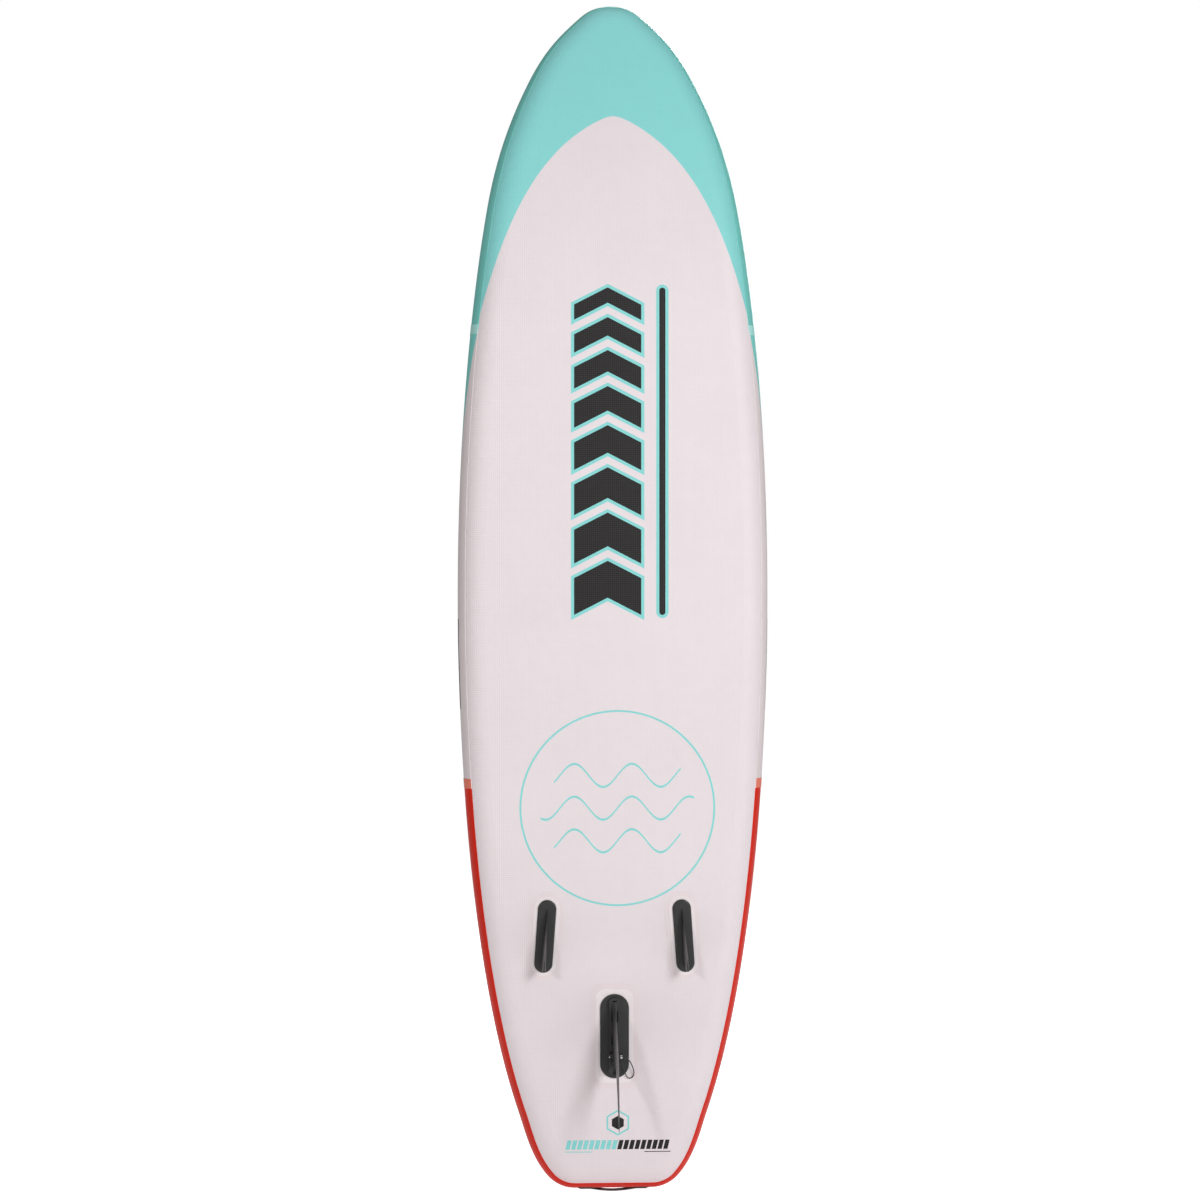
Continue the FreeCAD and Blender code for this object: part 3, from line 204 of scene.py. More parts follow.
# %% Printed PVC faces
WHITE_PVC = "#E6DCE0"
TURQUOISE_INK = "#86D6D4"
WEAVE_SHADE = "#8C8688"
DOT_PITCH, DOT_RELIEF = 0.010, 0.00035
EDGE_SHARPNESS = 700
NOSE_ARCH_TOP, NOSE_ARCH_ROUND = 2.8147, 0.020
NOSE_ARCH_SLOPE, NOSE_ARCH_BEND, NOSE_ARCH_SHOULDER = 0.428, 1.573, 12.73


def weave_dots(tree, axes, pitch):
    """A height from 0 to 1: slanting rows of dots from two crossed waves."""
    rate = 2 * math.pi / pitch
    sums = [formula(tree, axes[0], (operation, axes[2]), ("MULTIPLY", rate), ("SINE",))
            for operation in ("ADD", "SUBTRACT")]
    return formula(tree, sums[0], ("MULTIPLY", sums[1]), ("MULTIPLY_ADD", 0.5, 0.5))


def printed_pvc(name, ground, ink):
    """Dotted PVC with the nose in ink above a pointed arch and the ground colour below it."""
    material, tree, shader = new_finish(name, ground, 0.46, IOR=1.53, Specular_IOR_Level=0.25)
    place, axes = place_on(tree)
    dots = weave_dots(tree, axes, DOT_PITCH)
    reach = formula(tree, axes[0], ("MULTIPLY", axes[0]), ("ADD", NOSE_ARCH_ROUND ** 2), ("SQRT",))
    line = formula(tree, reach, ("MULTIPLY", NOSE_ARCH_SHOULDER),
                   ("MULTIPLY_ADD", reach, NOSE_ARCH_BEND),
                   ("MULTIPLY_ADD", reach, NOSE_ARCH_SLOPE), ("MULTIPLY_ADD", reach, axes[2]))
    above = formula(tree, line, ("SUBTRACT", NOSE_ARCH_TOP), ("MULTIPLY_ADD", EDGE_SHARPNESS, 0.5),
                    ("MAXIMUM", 0), ("MINIMUM", 1))
    cloud = add(tree, "ShaderNodeTexNoise", {},
                {"Vector": place, "Scale": 5.0, "Detail": 3.0}).outputs[0]
    inks = {"Factor": above, 6: linear(ground), 7: linear(ink)}
    printed = add(tree, "ShaderNodeMix", {"data_type": "RGBA"}, inks).outputs[2]
    shade = formula(tree, dots, ("MULTIPLY", 0.07), ("ADD", formula(tree, cloud, ("MULTIPLY", 0.08))))
    surface_detail(tree, shader, shade, printed, linear(WEAVE_SHADE), dots, DOT_RELIEF)
    return material


hull_pvc = printed_pvc("printed_hull_pvc", WHITE_PVC, TURQUOISE_INK)
deck_pvc = printed_pvc("printed_deck_pvc", WHITE_PVC, TURQUOISE_INK)
print("printed PVC with dots every", DOT_PITCH, "m")

# %% [markdown]
# ## Glued rail tapes
# The rails are wrapped in smooth PVC tape, shinier than the woven faces because nothing shows
# through it. A turquoise flash runs on from the nose tape as a narrowing wedge, and each white rail
# carries a dark slim marker. Both are worked out from the surface's own height and depth.

# %% Rail tape finishes
RAIL_TURQUOISE = "#7FCFC8"
RAIL_RED = "#DC2408"
FLASH_TOP, FLASH_TIP = 2.257, 1.700
MARKER_LOW, MARKER_HIGH, MARKER_DEPTH, MARKER_HALF = 1.255, 1.490, -0.012, 0.011


def tape_pvc(name, colour, deep):
    """Smooth glossy PVC tape with faint waves where it was pressed down by hand."""
    material, tree, shader = new_finish(name, colour, 0.34, IOR=1.53, Specular_IOR_Level=0.10)
    place, axes = place_on(tree)
    cloud = add(tree, "ShaderNodeTexNoise", {},
                {"Vector": place, "Scale": 9.0, "Detail": 4.0}).outputs[0]
    mottled = surface_detail(tree, shader, cloud, linear(colour), linear(deep), cloud, 0.0006)
    return material, tree, shader, axes, mottled


def between(tree, value, low, high, softness):
    """1 where the value lies between low and high, 0 outside, with a short soft edge."""
    edge_steps = (("MULTIPLY_ADD", softness, 0.5), ("MAXIMUM", 0), ("MINIMUM", 1))
    rise = formula(tree, value, ("SUBTRACT", low), *edge_steps)
    fall = formula(tree, value, ("MULTIPLY_ADD", -1, high), *edge_steps)
    return formula(tree, rise, ("MULTIPLY", fall))


turquoise_tape = tape_pvc("turquoise_rail_tape", RAIL_TURQUOISE, "#72C2BB")[0]
red_tape = tape_pvc("red_rail_tape", RAIL_RED, "#C81F06")[0]
pale_turquoise_strip = tape_pvc("turquoise_joint_strip", "#B4E6E1", "#A6DCD7")[0]
pale_red_strip = tape_pvc("red_joint_strip", "#E8836E", "#DE745F")[0]
white_tape, white_tree, white_shader, white_axes, white = tape_pvc(
    "white_rail_tape", "#E2D8DA", "#D8CDD0")

fade = formula(white_tree, white_axes[2], ("SUBTRACT", FLASH_TOP), ("DIVIDE", FLASH_TIP - FLASH_TOP),
               ("MAXIMUM", 0))
sweep = formula(white_tree, fade, ("POWER", 6), ("MULTIPLY", 0.037))
edge = formula(white_tree, fade, ("MULTIPLY_ADD", 0.073, -0.055), ("ADD", sweep))
past_edge = formula(white_tree, white_axes[1], ("SUBTRACT", edge))
flash = formula(white_tree, between(white_tree, past_edge, 0, 0.2, 900),
                ("MULTIPLY", between(white_tree, white_axes[2], FLASH_TIP, 3.2, EDGE_SHARPNESS)))
marker = formula(
    white_tree, between(white_tree, white_axes[2], MARKER_LOW, MARKER_HIGH, 900),
    ("MULTIPLY", between(white_tree, white_axes[1], MARKER_DEPTH - MARKER_HALF,
                         MARKER_DEPTH + MARKER_HALF, 1500)),
)
for share, colour in ((flash, RAIL_TURQUOISE), (marker, "#2B282A")):
    layers = {"Factor": share, 6: white, 7: linear(colour)}
    white = add(white_tree, "ShaderNodeMix", {"data_type": "RGBA"}, layers).outputs[2]
white_tree.links.new(white, white_shader.inputs["Base Color"])
print("rail tapes:", turquoise_tape.name, red_tape.name, white_tape.name)

# %% [markdown]
# ## Moulded and metal fittings
# The fins are glass-filled nylon, moulded in a steel tool with a fine spark-eroded grain, which
# leaves a soft dark sheen. The soft side fins are a rubbery urethane, the valve a plain grey nylon,
# and the rings polished stainless steel. Each one gets a grain at its own scale.

# %% Fitting finishes
def grained(name, colour, other, roughness, grain_size, depth, **more):
    """Moulded material: two close tones in a cloud, and a fine grain in relief."""
    material, tree, shader = new_finish(name, colour, roughness, **more)
    place, axes = place_on(tree)
    cloud = add(tree, "ShaderNodeTexNoise", {},
                {"Vector": place, "Scale": 40.0, "Detail": 5.0}).outputs[0]
    grain = add(tree, "ShaderNodeTexNoise", {},
                {"Vector": place, "Scale": 1 / grain_size, "Detail": 2.0}).outputs[0]
    surface_detail(tree, shader, cloud, linear(colour), linear(other), grain, depth)
    return material


finishes = {
    "pvc_white": hull_pvc,
    "pvc_deck": deck_pvc,
    "pvc_turquoise": turquoise_tape,
    "pvc_red": red_tape,
    "pvc_turquoise_pale": pale_turquoise_strip,
    "pvc_red_pale": pale_red_strip,
    "pvc_clear": grained("welded_pvc_patch", "#E4D8DB", "#DDD0D4", 0.40, 0.004, 0.0002, IOR=1.53),
    "pvc_flange": grained("moulded_pvc_flange", "#ECE3E5", "#E4DADD", 0.28, 0.003, 0.0001, IOR=1.53,
                          Coat_Weight=0.2),
    "pvc_black": grained("black_pvc_patch", "#2A282A", "#353335", 0.48, 0.003, 0.0002, IOR=1.53),
    "nylon_black": grained("moulded_black_nylon", "#1C1B1C", "#252425", 0.42, 0.0015, 0.00012,
                           IOR=1.53),
    "nylon_fin": grained("glass_filled_nylon_fin", "#2B2C2E", "#38393B", 0.36, 0.002, 0.0001, IOR=1.53,
                         Coat_Weight=0.12),
    "tpu_fin": grained("soft_urethane_fin", "#1A1A1B", "#232324", 0.38, 0.002, 0.0001, IOR=1.50,
                       Coat_Weight=0.1),
    "valve_grey": grained("moulded_grey_nylon", "#8E9294", "#9A9EA0", 0.42, 0.0015, 0.0001, IOR=1.53),
    "seal_rubber": grained("moulded_seal_rubber", "#232222", "#2C2B2B", 0.62, 0.001, 0.0001, IOR=1.52),
    "stainless": grained("polished_stainless_steel", "#C9C7C4", "#BDBBB8", 0.20, 0.0008, 0.00002,
                         Metallic=1.0),
    "polyester_yarn": grained("twisted_polyester_yarn", "#EFEDE8", "#E0DED8", 0.75, 0.001, 0.0002),
    "cord_black": grained("braided_black_cord", "#1B1A1B", "#2A292A", 0.70, 0.0012, 0.0003,
                          Sheen_Weight=0.2),
    "bungee": grained("braided_bungee_cover", "#232324", "#3C3D3E", 0.68, 0.0016, 0.0004,
                      Sheen_Weight=0.25),
    "webbing_black": grained("plain_webbing", "#232223", "#2E2D2E", 0.72, 0.0015, 0.0003,
                             Sheen_Weight=0.3),
    "neoprene": grained("plain_neoprene", "#2B2B2D", "#363638", 0.8, 0.001, 0.0002, Sheen_Weight=0.3),
    "eva_foam": grained("eva_foam_base", "#5E676B", "#6A7377", 0.75, 0.0012, 0.0003, Sheen_Weight=0.2),
}
for name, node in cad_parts.items():
    for holder in node.material_slots:
        slot_name = holder.material.name.split(".")[0]
        holder.material = finishes[slot_name]
for name in ("rail_tape_left", "rail_tape_right"):
    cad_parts[name].material_slots[0].material = white_tape
pin_cord_loop.data.materials.append(finishes["cord_black"])
print(len(finishes), "finishes on", len(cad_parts), "CAD pieces")

# %% [markdown]
# ## Printed graphics on the hull
# The hull carries a bold black graphic with a turquoise edge, a large thin ring, and a small mark at
# the tail. Each one is drawn flat as a filled curve, which takes round corners and holes, and is
# then laid on the hull as a film a tenth of a millimetre thick, so its edges stay crisp. Where the
# hull starts to bend up to the nose, the film is cut into short strips that can follow the bend.

# %% Laying a flat drawing on the hull
ROCKER_START, ROCKER_RADIUS = 2.257, 2.640
HULL_OUT = 0.075
BOARD_FILM = 0.00012


def hull_depth(height):
    """How far the hull's face lies from the middle plane at a height, as a y value."""
    climb = max(0.0, height - ROCKER_START)
    return ROCKER_RADIUS - math.sqrt((ROCKER_RADIUS + HULL_OUT) ** 2 - climb ** 2)


def print_on_hull(name, loops, layer, material):
    """A printed film: closed loops of (x, z) points, filled, and raised by a number of films."""
    curve = bpy.data.curves.new(name, "CURVE")
    curve.dimensions = "2D"
    curve.fill_mode = "BOTH"
    for loop in loops:
        line = curve.splines.new("POLY")
        line.points.add(len(loop) - 1)
        for point, (x, z) in zip(line.points, loop):
            point.co = (x, z, 0, 1)
        line.use_cyclic_u = True
    drawn = bpy.data.objects.new(name, curve)
    mesh = bpy.data.meshes.new_from_object(drawn)
    bpy.data.objects.remove(drawn)
    form = bmesh.new()
    form.from_mesh(mesh)
    top = max(z for loop in loops for x, z in loop)
    cuts = [ROCKER_START + 0.02 * step for step in range(8)]
    for height in [cut for cut in cuts if cut < top]:
        every = form.verts[:] + form.edges[:] + form.faces[:]
        bmesh.ops.bisect_plane(form, geom=every, plane_co=(0, height, 0), plane_no=(0, 1, 0))
    for vert in form.verts:
        x, z = vert.co.x, vert.co.y
        vert.co = (x, hull_depth(z) - BOARD_FILM * layer, z)
    bmesh.ops.recalc_face_normals(form, faces=form.faces[:])
    if sum(face.normal.y * face.calc_area() for face in form.faces) > 0:
        bmesh.ops.reverse_faces(form, faces=form.faces[:])
    form.to_mesh(mesh)
    form.free()
    mesh.materials.clear()
    mesh.materials.append(material)
    film = bpy.data.objects.new(name, mesh)
    bpy.context.scene.collection.objects.link(film)
    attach(film, "board")
    return film


def ink(name, colour, roughness):
    """Screen ink on the dotted PVC: a flat colour that still shows the weave in relief and tone."""
    material, tree, shader = new_finish(name, colour, roughness, IOR=1.5, Specular_IOR_Level=0.22)
    place, axes = place_on(tree)
    dots = weave_dots(tree, axes, DOT_PITCH)
    shade = formula(tree, dots, ("MULTIPLY", 0.10))
    surface_detail(tree, shader, shade, linear(colour), linear(WEAVE_SHADE), dots, DOT_RELIEF)
    return material


black_ink = ink("black_screen_ink", "#0C0A0B", 0.42)
turquoise_ink = ink("turquoise_screen_ink", TURQUOISE_INK, 0.42)
print("hull depth at the top of the graphic", round(hull_depth(2.36), 4))

# %% [markdown]
# ## The large graphic: chevrons and a slim bar
# The column of chevrons points to the nose, and each one is slimmer than the one below, so the
# column seems to speed up. A chevron is a bar bent in the middle, which needs six corners. Its
# turquoise edge is the same chevron drawn 8 mm bigger all round, on the film underneath.

# %% Chevrons and bar
CHEVRON_LEFT, CHEVRON_RIGHT = -0.105, 0.070
CHEVRON_RISE = 0.045
EDGE_WIDTH = 0.008
GRAPHIC_LOW, GRAPHIC_HIGH = 1.500, 2.352
CHEVRON_COUNT = 8
FIRST_HEIGHT, LAST_HEIGHT = 0.096, 0.040


def chevron(low, height, grow):
    """Six corners of a chevron whose lower ends are at low, drawn bigger by grow on every side."""
    middle = (CHEVRON_LEFT + CHEVRON_RIGHT) / 2
    reach = (CHEVRON_RIGHT - CHEVRON_LEFT) / 2
    slope = CHEVRON_RISE / reach
    spread = grow * math.sqrt(1 + slope ** 2)
    wide = reach + grow
    drop = slope * wide
    peak = low + CHEVRON_RISE
    return [
        (middle - wide, peak - drop - spread), (middle, peak - spread),
        (middle + wide, peak - drop - spread),
        (middle + wide, peak - drop + height + spread), (middle, peak + height + spread),
        (middle - wide, peak - drop + height + spread),
    ]


def stadium(centre, width, height, grow=0.0, steps=10):
    """A bar with half-round ends, longest in z, about a centre (x, z)."""
    radius = min(width, height) / 2 + grow
    run = max(0.0, (height - width) / 2)
    lean = [math.pi * step / steps for step in range(steps + 1)]
    upper = [(centre[0] + radius * math.cos(a), centre[1] + run + radius * math.sin(a)) for a in lean]
    lower = [(centre[0] - radius * math.cos(a), centre[1] - run - radius * math.sin(a)) for a in lean]
    return upper + lower


step_share = [number / (CHEVRON_COUNT - 1) for number in range(CHEVRON_COUNT)]
heights = [FIRST_HEIGHT + (LAST_HEIGHT - FIRST_HEIGHT) * share for share in step_share]
gap = (GRAPHIC_HIGH - GRAPHIC_LOW - CHEVRON_RISE - sum(heights)) / (CHEVRON_COUNT - 1)
lows = [GRAPHIC_LOW + sum(heights[:number]) + gap * number for number in range(CHEVRON_COUNT)]
for number, (low, height) in enumerate(zip(lows, heights), start=1):
    print_on_hull(f"chevron_edge_{number}", [chevron(low, height, EDGE_WIDTH)], 1, turquoise_ink)
    print_on_hull(f"chevron_{number}", [chevron(low, height, 0)], 2, black_ink)
BAR_CENTRE = (0.125, (GRAPHIC_LOW + GRAPHIC_HIGH) / 2)
BAR_WIDTH, BAR_HEIGHT = 0.016, GRAPHIC_HIGH - GRAPHIC_LOW
print_on_hull("slim_bar_edge", [stadium(BAR_CENTRE, BAR_WIDTH, BAR_HEIGHT, EDGE_WIDTH)], 1,
              turquoise_ink)
print_on_hull("slim_bar", [stadium(BAR_CENTRE, BAR_WIDTH, BAR_HEIGHT)], 2, black_ink)
print("chevrons", len(lows), "gap", round(gap, 4))

# %% [markdown]
# ## The ring and its waves
# A thin ring is two circles, the inner one a hole in the outer one. The three waves inside it are
# sine curves with a width: the upper edge of the line is drawn one way and the lower edge back.

# %% Ring and waves
RING_CENTRE, RING_RADIUS, RING_LINE = (0.008, 0.998), 0.255, 0.005
WAVE_HEIGHT, WAVE_LENGTH, WAVE_LINE = 0.030, 0.150, 0.006


def circle(centre, radius, steps=96):
    turns = [2 * math.pi * step / steps for step in range(steps)]
    return [(centre[0] + radius * math.cos(turn), centre[1] + radius * math.sin(turn))
            for turn in turns]


def wave(centre, half_width, line, steps=72):
    """One wavy line: its upper edge from left to right, then its lower edge back."""
    places = [-half_width + 2 * half_width * step / steps for step in range(steps + 1)]

    def edge(offset):
        rise = [WAVE_HEIGHT * math.sin(2 * math.pi * x / WAVE_LENGTH) + offset for x in places]
        return [(centre[0] + x, centre[1] + z) for x, z in zip(places, rise)]

    return edge(line / 2) + edge(-line / 2)[::-1]


ring_loops = [circle(RING_CENTRE, RING_RADIUS), circle(RING_CENTRE, RING_RADIUS - RING_LINE)]
print_on_hull("thin_ring", ring_loops, 1, turquoise_ink)
for number, rise in enumerate((-0.085, 0.0, 0.085), start=1):
    centre = (RING_CENTRE[0], RING_CENTRE[1] + rise)
    print_on_hull(f"wave_{number}", [wave(centre, 0.165 if rise else 0.200, WAVE_LINE)], 1,
                  turquoise_ink)
print("ring radius", RING_RADIUS)

# %% [markdown]
# ## The small mark at the tail
# A hexagon with a smaller solid one inside it stands above a row of slanted dashes, turquoise on
# the left half and black on the right, with a thin rule under each half.

# %% Tail mark
HEXAGON_CENTRE, HEXAGON_REACH, HEXAGON_LINE, HEXAGON_CORE = (0.009, 0.180), 0.034, 0.005, 0.018
DASH_COUNT, DASH_PITCH, DASH_WIDTH, DASH_LEAN = 18, 0.0150, 0.0112, 0.006
DASH_LEFT, DASH_LOW, DASH_HIGH = -0.128, 0.111, 0.135
RULE_LOW, RULE_HIGH = 0.1035, 0.1055


def hexagon(centre, reach):
    turns = [math.radians(30 + 60 * side) for side in range(6)]
    return [(centre[0] + reach * math.cos(turn), centre[1] + reach * math.sin(turn)) for turn in turns]


def slanted(left, right, low, high, lean):
    return [(left, low), (right, low), (right + lean, high), (left + lean, high)]


outline = [hexagon(HEXAGON_CENTRE, reach) for reach in (HEXAGON_REACH, HEXAGON_REACH - HEXAGON_LINE)]
print_on_hull("tail_hexagon", outline, 1, turquoise_ink)
print_on_hull("tail_hexagon_core", [hexagon(HEXAGON_CENTRE, HEXAGON_CORE)], 1, black_ink)
starts = [DASH_LEFT + DASH_PITCH * number for number in range(DASH_COUNT)]
dashes = [slanted(x, x + DASH_WIDTH, DASH_LOW, DASH_HIGH, DASH_LEAN) for x in starts]
half = DASH_COUNT // 2
print_on_hull("tail_dashes_left", dashes[:half], 1, turquoise_ink)
print_on_hull("tail_dashes_right", dashes[half:], 1, black_ink)
print_on_hull("tail_rule_left", [slanted(DASH_LEFT, -0.058, RULE_LOW, RULE_HIGH, 0)], 1, turquoise_ink)
print_on_hull("tail_rule_right", [slanted(0.078, 0.146, RULE_LOW, RULE_HIGH, 0)], 1, black_ink)
print("tail mark dashes", len(dashes))

# %% [markdown]
# ## Where the deck fittings sit
# Every fitting on the deck is made flat, in a frame of its own: x across, y to the nose, z out of
# the deck. One matrix then puts it in place, and leans it back where the deck bends at the nose.

# %% Frames on the deck
BOARD_LENGTH, BOARD_WIDTH = 3.117, 0.813
NOSE_HANDLE_FROM_NOSE, TOW_RING_FROM_NOSE, SEAT_RING_FROM_RAIL = 0.190, 0.330, 0.100


def deck_place(height, across=0.0, spin=0.0):
    """The frame of a deck fitting: x to -X, y to the nose, z out of the deck."""
    radius = ROCKER_RADIUS - HULL_OUT
    lean = math.asin(max(0.0, height - ROCKER_START) / radius)
    base = Vector((across, ROCKER_RADIUS - radius * math.cos(lean), height))
    axes = Matrix(((-1, 0, 0), (0, math.sin(lean), math.cos(lean)),
                   (0, math.cos(lean), -math.sin(lean))))
    turn = Matrix.Rotation(math.radians(spin), 4, "Z")
    return Matrix.Translation(base) @ axes.transposed().to_4x4() @ turn


CARRY_PLACE = deck_place(1.480, 0, 0)
NOSE_PLACE = deck_place(BOARD_LENGTH - NOSE_HANDLE_FROM_NOSE, 0, 90)
TAIL_PLACE = Matrix(((0, -1, 0, 0), (-1, 0, 0, 0), (0, 0, -1, 0), (0, 0, 0, 1)))
print("nose handle at", [round(v, 3) for v in NOSE_PLACE.translation])

# %% [markdown]
# ## Woven webbing
# Straps and tabs are nylon webbing: a flat band with a raised, rounded selvedge on each side. A
# ribbon function runs a rounded section along a path, and writes a UV map in metres, so the weave
# follows the strap wherever it bends. The weave is a herringbone of ribs about 2.5 mm apart, drawn
# a little coarser than the real one so that it still shows from a few metres away.

# %% Webbing finish and ribbon
WEAVE_RIB, WEAVE_FOLD = 0.0026, 0.006
webbing, webbing_tree, webbing_shader = new_finish("woven_nylon_webbing", "#232223", 0.62,
                                                   Sheen_Weight=0.35)
webbing_map = add(webbing_tree, "ShaderNodeUVMap", {"uv_map": "weave"}, {}).outputs[0]
webbing_axes = add(webbing_tree, "ShaderNodeSeparateXYZ", {}, {0: webbing_map}).outputs
folded = formula(webbing_tree, webbing_axes[0], ("PINGPONG", WEAVE_FOLD), ("ADD", webbing_axes[1]))
ribs = formula(webbing_tree, folded, ("MULTIPLY", 2 * math.pi / WEAVE_RIB), ("SINE",),
               ("MULTIPLY_ADD", 0.5, 0.5))
surface_detail(webbing_tree, webbing_shader, ribs, linear("#151415"), linear("#343334"), ribs, 0.0005)


def new_piece(name, mesh, material, body):
    """Links a finished mesh as one piece that rides on a body and takes a slot's finish."""
    mesh.materials.clear()
    mesh.materials.append(material)
    piece = bpy.data.objects.new(name, mesh)
    bpy.context.scene.collection.objects.link(piece)
    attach(piece, body)
    return piece


def band_section(width, thickness):
    """The rounded section of a band, as (across, out) points that go once round it."""
    half, thick = width / 2, thickness / 2
    upper = [(-half + 0.15 * thick, 0.6 * thick), (-half + thick, 1.0 * thick),
             (-half + 2.4 * thick, 0.82 * thick)]
    upper += [(-x, z) for x, z in upper[::-1]]
    return [(-half, 0)] + upper + [(half, 0)] + [(x, -z) for x, z in upper[::-1]]


def mesh_of(name, form):
    """Writes a BMesh to a new mesh and frees it."""
    mesh = bpy.data.meshes.new(name)
    form.to_mesh(mesh)
    form.free()
    return mesh


def ribbon_mesh(name, path, section, places):
    """A section run along a path of (run, up) points, closed at both ends, once at each place."""
    form = bmesh.new()
    weave = form.loops.layers.uv.new("weave")
    steps = [0.0]
    for (y0, z0), (y1, z1) in zip(path, path[1:]):
        steps.append(steps[-1] + math.hypot(y1 - y0, z1 - z0))
    for place in places:
        rows = []
        for number, (y, z) in enumerate(path):
            (y0, z0), (y1, z1) = path[max(0, number - 1)], path[min(len(path) - 1, number + 1)]
            run = math.hypot(y1 - y0, z1 - z0)
            lean_y, lean_z = -(z1 - z0) / run, (y1 - y0) / run
            spots = [Vector((x, y + lean_y * out, z + lean_z * out)) for x, out in section]
            rows.append([form.verts.new(place @ spot) for spot in spots])
        count = len(section)
        for number in range(len(rows) - 1):
            for side in range(count):
                after = (side + 1) % count
                here, ahead = rows[number], rows[number + 1]
                face = form.faces.new((here[side], here[after], ahead[after], ahead[side]))
                face.smooth = True
                corners = ((section[side][0], steps[number]), (section[after][0], steps[number]),
                           (section[after][0], steps[number + 1]),
                           (section[side][0], steps[number + 1]))
                for loop, corner in zip(face.loops, corners):
                    loop[weave].uv = corner
        form.faces.new(rows[0][::-1])
        form.faces.new(rows[-1])
    bmesh.ops.recalc_face_normals(form, faces=form.faces[:])
    return mesh_of(name, form)


def arch_path(span, rise, foot, base, steps=28):
    """A handle's path: a flat foot, a low arch that leaves the deck smoothly, and a flat foot."""
    arch = [-1 + 2 * step / steps for step in range(steps + 1)]
    middle = [(share * span / 2, base + rise * (1 - share * share) ** 1.25) for share in arch]
    first = [(-span / 2 - foot, base), (-span / 2 - foot / 2, base)]
    return first + middle + [(-run, up) for run, up in first[::-1]]


PATCH_THICK, BAND_THICK = 0.0012, 0.0016
HANDLES = {
    "carry": {"place": CARRY_PLACE, "span": 0.250, "rise": 0.034, "foot": 0.044, "width": 0.038,
              "thickness": 0.003, "base": PATCH_THICK + 0.0015, "seam_up": 0.0044},
    "nose": {"place": NOSE_PLACE, "span": 0.110, "rise": 0.018, "foot": 0.028, "width": 0.025,
             "thickness": BAND_THICK, "base": 0.0013 + BAND_THICK / 2, "seam_up": 0.0031},
    "tail": {"place": TAIL_PLACE, "span": 0.120, "rise": 0.006, "foot": 0.028, "width": 0.030,
             "thickness": BAND_THICK, "base": PATCH_THICK + BAND_THICK / 2, "seam_up": 0.0030},
}
for name, handle in HANDLES.items():
    path = arch_path(handle["span"], handle["rise"], handle["foot"], handle["base"])
    section = band_section(handle["width"], handle["thickness"])
    mesh = ribbon_mesh(name + "_strap", path, section, [handle["place"]])
    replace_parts(new_piece(name + "_strap", mesh, webbing, "board"),
                name + "_handle_strap")
print("handle straps", len(HANDLES), "points each", len(path))

# %% [markdown]
# ## Webbing tabs round the rings and the cargo cord
# Each ring hangs in a tab: a short piece of webbing folded round the ring's bar, with both ends
# sewn together on a round patch. The path goes in along the upper layer, over and round the bar,
# and back along the lower layer.

# %% Tabs
def tab_path(bar, clearance, thickness, base, tail, steps=20):
    """In along the upper layer, round a bar at y = 0, and out along the lower layer."""
    radius = bar + clearance + thickness / 2
    middle = base + thickness + clearance + bar
    start, end = math.radians(52), math.radians(270)
    turn = [start + (end - start) * step / steps for step in range(steps + 1)]
    around = [(radius * math.cos(a), middle + radius * math.sin(a)) for a in turn]
    upper = base + 1.5 * thickness
    lead = around[0]
    slope = [(lead[0] + 0.0026, lead[1] - 0.0023), (lead[0] + 0.0055, upper + 0.0008),
             (lead[0] + 0.009, upper)]
    return [(tail, upper)] + slope[::-1] + around + [(tail * 0.4, base + thickness / 2),
                                                     (tail, base + thickness / 2)]


LOOP_BASE = PATCH_THICK + 0.0001
RING_WIRE, CORD_RADIUS = 0.0025, 0.003
ring_tab = tab_path(RING_WIRE, 0.00008, BAND_THICK, LOOP_BASE, 0.024)
SEAT_X = BOARD_WIDTH / 2 - SEAT_RING_FROM_RAIL
SEAT_SPOTS = [(height, side * SEAT_X) for height in (1.120, 1.700) for side in (-1, 1)]
RING_PLACES = {
    "leash_ring_loop": [deck_place(0.150)],
    "tow_ring_loop": [deck_place(BOARD_LENGTH - TOW_RING_FROM_NOSE)],
    "seat_ring_loops": [deck_place(*spot) for spot in SEAT_SPOTS],
}
for node_name, places in RING_PLACES.items():
    mesh = ribbon_mesh(node_name + "_tab", ring_tab, band_section(0.025, BAND_THICK), places)
    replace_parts(new_piece(node_name + "_tab", mesh, webbing, "board"), node_name)

CARGO_LOW, CARGO_HIGH, CARGO_HALF = 1.900, 2.215, 0.180
inward = math.degrees(math.atan2(CARGO_HIGH - CARGO_LOW, 2 * CARGO_HALF) / 2)
CARGO_PLACES = [
    deck_place(CARGO_LOW, -CARGO_HALF, 270 - inward), deck_place(CARGO_HIGH, CARGO_HALF, 90 - inward),
    deck_place(CARGO_HIGH, -CARGO_HALF, inward - 90), deck_place(CARGO_LOW, CARGO_HALF, inward + 90),
]
cargo_tab = tab_path(CORD_RADIUS, 0.0005, BAND_THICK, PATCH_THICK, 0.0192)
mesh = ribbon_mesh("cargo_loop_tabs", cargo_tab, band_section(0.0175, BAND_THICK), CARGO_PLACES)
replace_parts(new_piece("cargo_loop_tabs", mesh, webbing, "board"), "cargo_loops")
print("tabs", sum(len(places) for places in RING_PLACES.values()) + len(CARGO_PLACES))

# %% [markdown]
# ## The cargo bungee
# Elastic cord, 6 mm thick with a braided cover, is laced through the four tabs as a cross with a
# closed top, and both ends go into a small lock. It is pulled taut, so it is straight between the
# tabs. The route has a point each side of every tab, and two where it passes over its own run.

